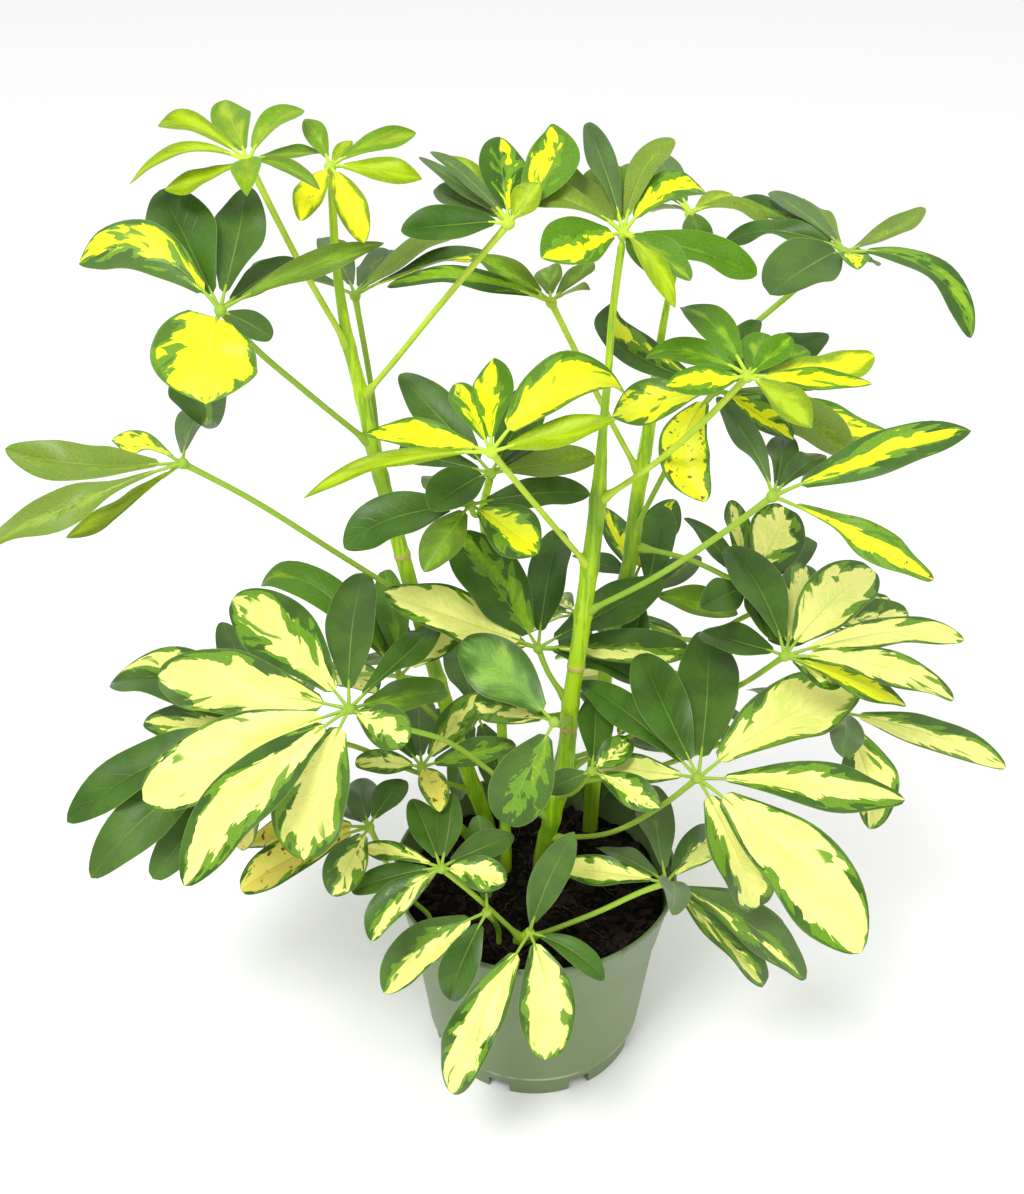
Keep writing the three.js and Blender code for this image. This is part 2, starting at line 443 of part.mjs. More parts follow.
// The pot: a turned wall with a wide band under its rim, a foot ring, and drain notches in the foot
function makePot() {
  const inner = (radius) => radius - POT_WALL;
  const bandFoot = POT_HIGH - BAND_HIGH;
  const profile = [
    [0, 0], [RING_RADIUS - ROUNDING, 0], [RING_RADIUS, ROUNDING], [RING_RADIUS + ROUNDING, RING_HIGH],
    [BODY_FOOT_RADIUS, RING_HIGH + STEP_HIGH], [BODY_TOP_RADIUS, bandFoot - STEP_HIGH],
    [BAND_FOOT_RADIUS, bandFoot], [RIM_RADIUS - LIP_OUT, POT_HIGH - LIP_HIGH - ROUNDING],
    [RIM_RADIUS, POT_HIGH - LIP_HIGH], [RIM_RADIUS, POT_HIGH - ROUNDING],
    [RIM_RADIUS - ROUNDING, POT_HIGH], [inner(RIM_RADIUS) - ROUNDING, POT_HIGH],
    [inner(BAND_FOOT_RADIUS), bandFoot], [inner(BODY_FOOT_RADIUS), RING_HIGH + STEP_HIGH],
    [inner(RING_RADIUS), POT_WALL], [0, POT_WALL]];
  const outline = profile.map(([radius, height]) => new THREE.Vector2(radius, height));
  const turned = new THREE.LatheGeometry(outline, POT_SIDES);
  turned.rotateX(Math.PI / 2);
  let pot = solidFromGeometry(turned);
  for (let drain = 0; drain < DRAINS; drain++) {
    const long = BODY_TOP_RADIUS - DRAIN_INNER_RADIUS;
    const notch = new THREE.BoxGeometry(long, DRAIN_WIDE, DRAIN_HIGH * 2);
    notch.translate(DRAIN_INNER_RADIUS + long / 2, 0, 0);
    notch.rotateZ(((drain + 0.5) / DRAINS) * Math.PI * 2 - Math.PI / 2 + DRAIN_TURN);
    pot = pot.subtract(solidFromGeometry(notch));
  }
  return pot;
}

// Height of the soil's top at a place: low lumps, and a dip at the wall
function soilHeight(x, y) {
  const lumps = Math.sin(x * 0.21 + 1.1) * Math.cos(y * 0.17) + 0.6 * Math.sin(x * 0.13 - y * 0.29 + 2.3);
  return SOIL_TOP + SOIL_RELIEF * lumps - (Math.hypot(x, y) / RIM_RADIUS) ** 4 * 3;
}

// The soil: it fills the pot, with a lumpy top, and has a plain hole for everything that stands in it
function makeSoil(holes) {
  const wall = POT_WALL + GAP;
  const foot = new THREE.Vector3(BODY_FOOT_RADIUS - wall - 1.5, 0, POT_WALL + GAP);
  const knee = new THREE.Vector3(BODY_TOP_RADIUS - wall - 0.8, 0, POT_HIGH - BAND_HIGH - 4);
  const brim = new THREE.Vector3(RIM_RADIUS - wall - 4.6, 0, SOIL_TOP);
  const points = [];
  const ringOf = (radius, heightAt) => {
    for (let side = 0; side < SOIL_SIDES; side++) {
      const turn = (side / SOIL_SIDES) * Math.PI * 2;
      const x = radius * Math.cos(turn);
      const y = radius * Math.sin(turn);
      points.push(new THREE.Vector3(x, y, heightAt(x, y)));
    }
  };
  ringOf(foot.x * 0.92, () => foot.z);
  ringOf(foot.x, () => foot.z + 10);
  ringOf(knee.x, () => knee.z);
  for (let ring = 0; ring < SOIL_RINGS; ring++) ringOf(brim.x * (1 - ring / SOIL_RINGS), soilHeight);
  points.push(new THREE.Vector3(0, 0, soilHeight(0, 0)));
  let soil = solidOf(points, skinOf(3 + SOIL_RINGS, SOIL_SIDES, true));
  const deep = HOLE_ABOVE + ROOTED + HOLE_BELOW;
  for (const hole of holes) {
    const cut = new THREE.CylinderGeometry(hole.radius, hole.radius, deep, HOLE_SIDES);
    cut.rotateX(Math.PI / 2);
    cut.translate(hole.x, hole.y, SOIL_TOP + HOLE_ABOVE - deep / 2);
    soil = soil.subtract(solidFromGeometry(cut));
  }
  return soil;
}

// Points straight down in the soil below a place on its top
function rooted(point, radius) {
  return [SOIL_TOP - ROOTED, SOIL_TOP - 2, SOIL_TOP + 3]
    .map((height) => ({ point: new THREE.Vector3(point.x, point.y, height), radius }));
}

// The row of points up a stem, from its foot in the soil
function stemRow(name) {
  const row = STEMS[name].map(([column, down, depth, radius]) => (
    { point: seenAt(column, down, depth), radius }));
  return [...rooted(row[0].point, row[0].radius), ...row.slice(1)];
}

function makeStem(name) {
  const row = stemRow(name);
  return stalk(row, row[0].radius > STOUT ? STOUT_SIDES : SLIM_SIDES);
}

// Where a stem passes nearest to a place in the photo: the point, the way it heads, and its radius
function placeOnStem(name, [column, down]) {
  const row = stemRow(name);
  let best = null;
  for (let leg = 1; leg + 1 < row.length; leg++) {
    const [low, high] = [row[leg], row[leg + 1]];
    for (let step = 0; step <= 20; step++) {
      const point = low.point.clone().lerp(high.point, step / 20);
      const [seenColumn, seenRow] = photoPlace(point);
      const miss = Math.hypot(seenColumn - column, seenRow - down);
      if (best === null || miss < best.miss) {
        const heading = high.point.clone().sub(low.point).normalize();
        const radius = THREE.MathUtils.lerp(low.radius, high.radius, step / 20);
        best = { miss, point, heading, radius };
      }
    }
  }
  return best;
}

// One leaflet: rings of four points (left edge, upper middle, right edge, lower middle) along an arched
// midrib, folded up from the midrib like a shallow V, with a pointed tip
const LONG_LEAFLET = 96;
const SHORT_LEAFLET = 54;
const STATIONS = [[0, 0], [0.15, 0.04], [0.33, 0.66], [0.61, 1], [0.86, 0.7]];
const LONG_STATIONS = [[0, 0], [0.15, 0.04], [0.3, 0.58], [0.48, 0.92], [0.68, 1], [0.87, 0.68]];
const SHORT_STATIONS = [[0, 0], [0.16, 0.05], [0.46, 0.95], [0.8, 0.82]];
const FULL_STATIONS = [[0, 0], [0.07, 0.06], [0.24, 0.84], [0.52, 1], [0.82, 0.74]];

function stationsFor(long, full) {
  if (full) return FULL_STATIONS;
  if (long > LONG_LEAFLET) return LONG_STATIONS;
  return long < SHORT_LEAFLET ? SHORT_STATIONS : STATIONS;
}

function leafletFrame(hub, tip, axis, roll) {
  const along = tip.clone().sub(hub);
  const long = along.length();
  along.normalize();
  const face = axis.clone().addScaledVector(along, -axis.dot(along)).normalize();
  face.applyAxisAngle(along, THREE.MathUtils.degToRad(roll));
  return { long, along, face, across: new THREE.Vector3().crossVectors(along, face) };
}

function leafletPoints(hub, tip, axis, look, seed) {
  const { long, along, face, across } = leafletFrame(hub, tip, axis, look.roll);
  const stations = stationsFor(long, look.full);
  const wide = look.wide ?? long * WIDE_FOR_LENGTH;
  const sickle = (settled(seed, 1) - 0.5) * SICKLE * long;
  const fold = FOLD + FOLD_VARIES * settled(seed, 2);
  const wave = (WAVE + WAVE_VARIES * settled(seed, 3)) * long;
  const phase = settled(seed, 4) * Math.PI * 2;
  const twist = THREE.MathUtils.degToRad((settled(seed, 5) - 0.5) * TWIST);
  const rise = UP.clone().addScaledVector(along, -along.z).add(face).normalize();
  let bow = rise.multiplyScalar(long * look.arch).addScaledVector(across, sickle);
  if (look.mid) {
    const centre = hub.clone().lerp(tip, 0.5);
    bow = seenAt(...look.mid, centre.y).sub(centre);
  }
  const middleAt = (t) => hub.clone()
    .addScaledVector(along, long * t)
    .addScaledVector(bow, 4 * t * (1 - t) * (0.8 + 0.4 * t));
  const points = [];
  for (const [t, share] of stations) {
    const middle = middleAt(t);
    const heading = middleAt(t + 0.01).sub(middleAt(t - 0.01)).normalize();
    const side = across.clone().applyAxisAngle(heading, twist * t);
    side.addScaledVector(heading, -side.dot(heading)).normalize();
    const upper = new THREE.Vector3().crossVectors(side, heading);
    const half = Math.max(PETIOLULE_RADIUS, share * wide / 2);
    const blade = Math.min(1, share * 2);
    const dip = -blade * half * fold / 2;
    const raised = (turn) => blade * wave * Math.sin(turn + phase) - dip;
    const thick = share > 0.2 ? BLADE_THICK / 2 : PETIOLULE_RADIUS;
    points.push(
      middle.clone().addScaledVector(side, -half).addScaledVector(upper, raised(t * 9)),
      middle.clone().addScaledVector(upper, dip + thick),
      middle.clone().addScaledVector(side, half).addScaledVector(upper, raised(t * 9 + 2.2)),
      middle.clone().addScaledVector(upper, dip - thick));
  }
  points.push(tip.clone());
  return { points, rings: stations.length };
}

// The triangles of both faces are split alike, so that a waved blade never crosses itself
function bladeSkin(rings) {
  const triangles = [[0, 3, 2], [0, 2, 1]];
  for (let ring = 0; ring + 1 < rings; ring++) {
    const here = ring * 4;
    for (const edge of [0, 2]) {
      const [upper, lower] = [1, 3];
      const split = (middle) => [
        [here + edge, here + 4 + middle, here + 4 + edge],
        [here + edge, here + middle, here + 4 + middle]];
      const top = split(upper);
      const under = split(lower).map(([a, b, c]) => [a, c, b]);
      const pair = [...top, ...under];
      triangles.push(...(edge === 0 ? pair : pair.map(([a, b, c]) => [a, c, b])));
    }
  }
  const last = (rings - 1) * 4;
  for (let side = 0; side < 4; side++) triangles.push([last + side, last + (side + 1) % 4, rings * 4]);
  return triangles;
}

function leafletSolid(hub, tip, axis, look, seed) {
  const { points, rings } = leafletPoints(hub, tip, axis, look, seed);
  return solidOf(points, bladeSkin(rings));
}

// The same leaflet without its stalk, for trying whether its blade is clear of what is already placed
function bladeOnly(hub, tip, axis, look, seed) {
  const { points, rings } = leafletPoints(hub, tip, axis, look, seed);
  return solidOf(points.slice(4), bladeSkin(rings - 1));
}

// Everything placed so far, with boxes so that only near neighbours are measured
const placed = [];

function place(solid, owner) {
  placed.push({ solid, owner, box: solid.boundingBox() });
}

function isClear(solid, skippedOwner) {
  const box = solid.boundingBox();
  return placed.every((other) => {
    if (other.owner === skippedOwner) return true;
    for (let axis = 0; axis < 3; axis++) {
      if (box.min[axis] - LEAF_CLEARANCE > other.box.max[axis]) return true;
      if (box.max[axis] + LEAF_CLEARANCE < other.box.min[axis]) return true;
    }
    return solid.minGap(other.solid, LEAF_CLEARANCE + 0.1) >= LEAF_CLEARANCE;
  });
}

// The petiole: from just clear of its stem, or from a hole in the soil, to the hub. Where another stem or
// leaf is in its way it bends nearer to the viewer or away, which its picture hardly shows
function petioleCurve(leaf, hub, bend) {
  const passed = (leaf.via ?? []).map(([column, row]) => [column, row]);
  let start;
  let points;
  if (leaf.stem) {
    const foot = placeOnStem(leaf.stem, leaf.from);
    const toHub = (passed.length ? seenAt(...passed[0], foot.point.y) : hub).clone().sub(foot.point);
    const outward = toHub.addScaledVector(foot.heading, -toHub.dot(foot.heading)).normalize();
    start = foot.point.clone().addScaledVector(outward, foot.radius + GAP);
    points = [start, start.clone().addScaledVector(outward, 2)];
  } else {
    points = rooted(groundAt(...leaf.from), 0).map(({ point }) => point);
    start = points[2];
  }
  const last = [leaf.hub[0], leaf.hub[1]];
  let travelled = 0;
  let before = photoPlace(start);
  const legs = [...passed, last].map((spot) => {
    travelled += Math.hypot(spot[0] - before[0], spot[1] - before[1]);
    before = spot;
    return travelled;
  });
  passed.forEach(([column, row], index) => {
    const share = legs[index] / travelled;
    const depth = THREE.MathUtils.lerp(start.y, hub.y, share) + bend * Math.sin(Math.PI * share);
    points.push(seenAt(column, row, depth));
  });
  if (passed.length === 0 && bend !== 0) {
    const middle = start.clone().lerp(hub, 0.5);
    const [column, row] = photoPlace(middle);
    points.push(seenAt(column, row, middle.y + bend));
  }
  points.push(hub);
  return new THREE.CatmullRomCurve3(points, false, 'centripetal');
}

function petioleSolid(leaf, hub, bend) {
  const curve = petioleCurve(leaf, hub, bend);
  const thick = leaf.thick ?? PETIOLE_RADIUS;
  const legs = curve.points.length - 1;
  const stations = curve.points.length < 4 ? [0, 1, 1.5, 2] : curve.points.map((point, index) => index);
  const footed = leaf.stem !== undefined;
  const row = stations.map((station, index) => (
    { point: curve.getPoint(station / legs), radius: footed && index === 0 ? PETIOLE_FOOT_RADIUS : thick }));
  return stalk(row, PETIOLE_SIDES);
}

// Places for the tip of a leaflet at depths along its line of sight. The likeliest come first: there the
// leaflet comes nearest to the usual length and droop, and lies on its own side of the hub
function tipPlaces(leaf, hub, axis, spot) {
  const [column, row, look = {}] = spot;
  const usual = look.long ?? leaf.long;
  const droop = look.droop ?? leaf.droop;
  const places = [];
  for (let step = -DEPTH_STEPS; step <= DEPTH_STEPS; step++) {
    const tip = seenAt(column, row, hub.y + step * DEPTH_STEP);
    const along = tip.clone().sub(hub);
    const long = along.length();
    const elevation = THREE.MathUtils.radToDeg(Math.asin(along.dot(axis) / long));
    const side = look.side && Math.sign(step || look.side) !== look.side ? 3 + Math.abs(step) : 0;
    const misses = [(long - usual) / (usual * LENGTH_VARIES), (elevation - droop) / DROOP_VARIES];
    places.push({ tip, unlikely: Math.hypot(...misses) ** 2 + side });
  }
  return places.sort((a, b) => a.unlikely - b.unlikely).slice(0, TIPS_TRIED);
}

// Leaflets in a ring round the hub, for leaves that the photo doesn't show
function ringPlaces(leaf, hub, axis, index) {
  const turn = ((index + settled(leaf.name, 20 + index) * RING_STRAYS) / leaf.ring) * Math.PI * 2;
  const across = new THREE.Vector3(Math.cos(turn), Math.sin(turn), 0);
  across.addScaledVector(axis, -across.dot(axis)).normalize();
  const long = leaf.long * (RING_SHORTEST + RING_LONG_VARIES * settled(leaf.name, 40 + index));
  return LEANS.map((lean) => {
    const droop = THREE.MathUtils.degToRad(leaf.droop + lean);
    const along = across.clone().multiplyScalar(Math.cos(droop)).addScaledVector(axis, Math.sin(droop));
    return { tip: hub.clone().addScaledVector(along, long) };
  });
}

// What finds no clear place is left out and listed in the group's userData
const leftOut = [];

function makeLeaf(leaf) {
  const stemEnd = leaf.tipped ? placeOnStem(leaf.stem, leaf.from) : null;
  const hub = leaf.tipped
    ? stemEnd.point.clone().addScaledVector(stemEnd.heading, HUB_RADIUS + GAP)
    : seenAt(...leaf.hub);
  const knob = new THREE.OctahedronGeometry(HUB_RADIUS, 0);
  if (leaf.tipped) knob.applyQuaternion(new THREE.Quaternion().setFromUnitVectors(UP, stemEnd.heading));
  knob.translate(hub.x, hub.y, hub.z);
  let whole = solidFromGeometry(knob);
  if (!leaf.tipped) {
    const own = placed.find((other) => other.owner === leaf.stem);
    const stalks = BENDS.map((bend) => petioleSolid(leaf, hub, bend));
    const clear = stalks.find((solid) => (
      isClear(whole.add(solid), leaf.stem) && (!own || solid.minGap(own.solid, 1) > GAP / 2)));
    if (!clear) {
      leftOut.push(`${leaf.name} petiole`);
      return null;
    }
    whole = whole.add(clear);
  }

  const outward = leaf.tipped ? stemEnd.heading : petioleCurve(leaf, hub, 0).getTangent(1).normalize();
  const upright = UP.clone().lerp(outward, LEANS_OUT).normalize();
  const toCamera = CAMERA_AT.clone().sub(hub).normalize();
  const axis = upright.lerp(toCamera, leaf.ring ? 0 : leaf.faces ?? FACES_VIEWER).normalize();
  const firstOwn = placed.length;
  const spots = leaf.leaflets ?? Array.from({ length: leaf.ring }, () => [0, 0, {}]);
  spots.forEach((spot, index) => {
    const own = spot[2] ?? {};
    const seed = `${leaf.name} ${index}`;
    const places = leaf.ring ? ringPlaces(leaf, hub, axis, index) : tipPlaces(leaf, hub, axis, spot);
    const [over, below] = [spot[0] - leaf.hub[0], spot[1] - leaf.hub[1]];
    const hangs = leaf.ring ? 0.5 : Math.max(0, below / Math.hypot(over, below));
    const arch = own.arch ?? ARCH + ARCH_HANGING * hangs + ARCH_VARIES * settled(seed, 6);
    const looks = TURNS.map((turn) => ({ ...own, arch, roll: (own.roll ?? 0) + turn }));
    for (const look of looks) {
      const found = places.find(({ tip }) => (
        isClear(bladeOnly(hub, tip, axis, look, seed))
        && isClear(leafletSolid(hub, tip, axis, look, seed), leaf.name)));
      if (found) {
        whole = whole.add(leafletSolid(hub, found.tip, axis, look, seed));
        place(bladeOnly(hub, found.tip, axis, look, seed), leaf.name);
        return;
      }
    }
    leftOut.push(seed);
  });
  placed.splice(firstOwn);
  place(whole, leaf.name);
  return whole;
}

function named(name, solid, colour, roughness) {
  const material = new THREE.MeshStandardMaterial({ color: colour, roughness, metalness: 0 });
  const mesh = new THREE.Mesh(geometryFrom(solid), material);
  mesh.name = name;
  return mesh;
}

function makePlant() {
  const plant = new THREE.Group();
  const pot = makePot();
  place(pot, 'pot');
  plant.add(named('pot', pot, POT_GREEN, 0.5));

  const holes = Object.keys(STEMS).map((name) => {
    const [column, row, depth, radius] = STEMS[name][0];
    const { x, y } = seenAt(column, row, depth);
    return { x, y, radius: (radius + HOLE_GAP) / Math.cos(Math.PI / 6) };
  });
  for (const leaf of LEAVES.filter((each) => !each.stem)) {
    const { x, y } = petioleCurve(leaf, seenAt(...leaf.hub), 0).points[0];
    holes.push({ x, y, radius: (PETIOLE_RADIUS + HOLE_GAP) / Math.cos(Math.PI / 6) });
  }
  const soil = makeSoil(holes);
  place(soil, 'soil');
  plant.add(named('soil', soil, SOIL_BROWN, 0.95));

  for (const name of Object.keys(STEMS)) {
    const stem = makeStem(name);
    place(stem, name);
    plant.add(named(name, stem, STEM_GREEN, 0.55));
  }
  for (const leaf of LEAVES) {
    const solid = makeLeaf(leaf);
    if (!solid) continue;
    const young = seenAt(...leaf.hub).z > CROWN_HIGH;
    plant.add(named(leaf.name, solid, young ? CROWN_GREEN : LEAF_GREEN, 0.42));
  }
  plant.userData = { leftOut };
  return plant;
}

export default makePlant();
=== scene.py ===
"""A potted umbrella plant: a green plastic pot, potting soil, green stems, and variegated leaves.

Every leaf, stem, the soil and the pot take the place of their plain node in the frame, and keep its
form: a leaflet is drawn again, finely, along the rings of its plain blade. Metres, +Z up.
"""

import functools
import json
import math
from collections import namedtuple

import bmesh
import bpy
import numpy as np
from bpy.props import FloatProperty, FloatVectorProperty, IntProperty, PointerProperty
from mathutils import Matrix, Vector

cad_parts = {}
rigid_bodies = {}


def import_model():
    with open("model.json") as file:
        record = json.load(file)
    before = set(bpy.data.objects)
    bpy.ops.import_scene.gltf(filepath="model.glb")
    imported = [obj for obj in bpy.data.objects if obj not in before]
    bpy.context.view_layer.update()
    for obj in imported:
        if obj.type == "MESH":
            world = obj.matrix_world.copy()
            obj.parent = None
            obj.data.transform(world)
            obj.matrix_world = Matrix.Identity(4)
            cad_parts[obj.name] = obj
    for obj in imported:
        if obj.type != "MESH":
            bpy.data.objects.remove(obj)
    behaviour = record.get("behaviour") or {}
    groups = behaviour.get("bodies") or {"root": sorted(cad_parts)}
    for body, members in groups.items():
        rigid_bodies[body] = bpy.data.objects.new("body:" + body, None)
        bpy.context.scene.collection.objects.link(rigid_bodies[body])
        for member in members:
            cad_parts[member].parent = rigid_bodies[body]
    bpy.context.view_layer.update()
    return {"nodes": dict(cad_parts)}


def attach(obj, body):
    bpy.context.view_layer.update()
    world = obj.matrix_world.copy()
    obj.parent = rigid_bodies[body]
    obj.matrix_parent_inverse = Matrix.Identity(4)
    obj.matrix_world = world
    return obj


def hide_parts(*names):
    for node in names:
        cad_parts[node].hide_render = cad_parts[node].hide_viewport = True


bl_info = {
    "name": "Potted umbrella plant",
    "version": (1, 0, 0),
    "blender": (4, 5, 0),
    "location": "3D View > Sidebar > Plant",
    "description": "Makes the pot, soil, stems and leaves of a variegated umbrella plant",
    "category": "Object",
}

for default_object in list(bpy.data.objects):
    bpy.data.objects.remove(default_object)
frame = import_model()
NODES = frame["nodes"]
STEMS = [name for name in NODES if name.startswith("stem_")]

MM = 0.001
TURN = 2 * math.pi

# The photograph: its size and focal length in pixels, and the camera's place and heading
PHOTO_WIDE = 1024
PHOTO_HIGH = 1194
FOCAL = 1400
CAMERA_AT = np.array([0.001, -0.559, 0.641])
LOOKS_DOWN = math.radians(32.4)
LOOKS_LEFT = math.radians(1.37)
FORWARD = np.array([
    -math.sin(LOOKS_LEFT) * math.cos(LOOKS_DOWN),
    math.cos(LOOKS_LEFT) * math.cos(LOOKS_DOWN),
    -math.sin(LOOKS_DOWN)])
RIGHTWARD = np.array([math.cos(LOOKS_LEFT), math.sin(LOOKS_LEFT), 0.0])
UPWARD = np.cross(RIGHTWARD, FORWARD)

# Looks of a leaflet: the colours of its margin and of its heart, how much of each half the heart takes,
# its age, which brings brown spots, and how soft the heart's edge is
LOOKS = {
    "lime": ("lime", "bright", 0.45, 0.1, 0.4),
    "fresh": ("fresh", "lime", 0.35, 0.0, 0.4),
    "olive": ("olive", "fresh", 0.3, 0.1, 0.4),
    "mid": ("mid", "fresh", 0.1, 0.0, 0.3),
    "dark": ("dark", "mid", -0.4, 0.0, 0.2),
    "grey": ("grey", "pale", -0.2, 0.2, 0.3),
    "pale": ("pale", "olive", 0.1, 0.2, 0.3),
    # This look's soft pale heart is a painted highlight on a dark blade
    "painted_highlight": ("dark", "painted_highlight_green", 0.55, 0.0, 0.5),
    "lemon": ("lime", "yellow", 0.7, 0.25, 0.25),
    "worn": ("mid", "yellow", 0.85, 0.75, 0.012),
    "golden": ("mid", "yellow", 0.8, 0.1, 0.012),
    "yellow": ("dark", "yellow", 0.62, 0.1, 0.012),
    "cream": ("dark", "cream", 0.75, 0.0, 0.012),
    "half": ("dark", "cream", 0.45, 0.0, 0.012),
    "ochre": ("dark", "ochre", 0.85, 0.8, 0.02),
    "streak": ("dark", "fresh", 0.25, 0.0, 0.012),
    "silver": ("grey", "cream", 0.15, 0.3, 0.02),
}
POINTED_LOOKS = ("lime", "fresh", "olive", "golden", "yellow")
Look = namedtuple("Look", "body heart age share shift pointed soft")

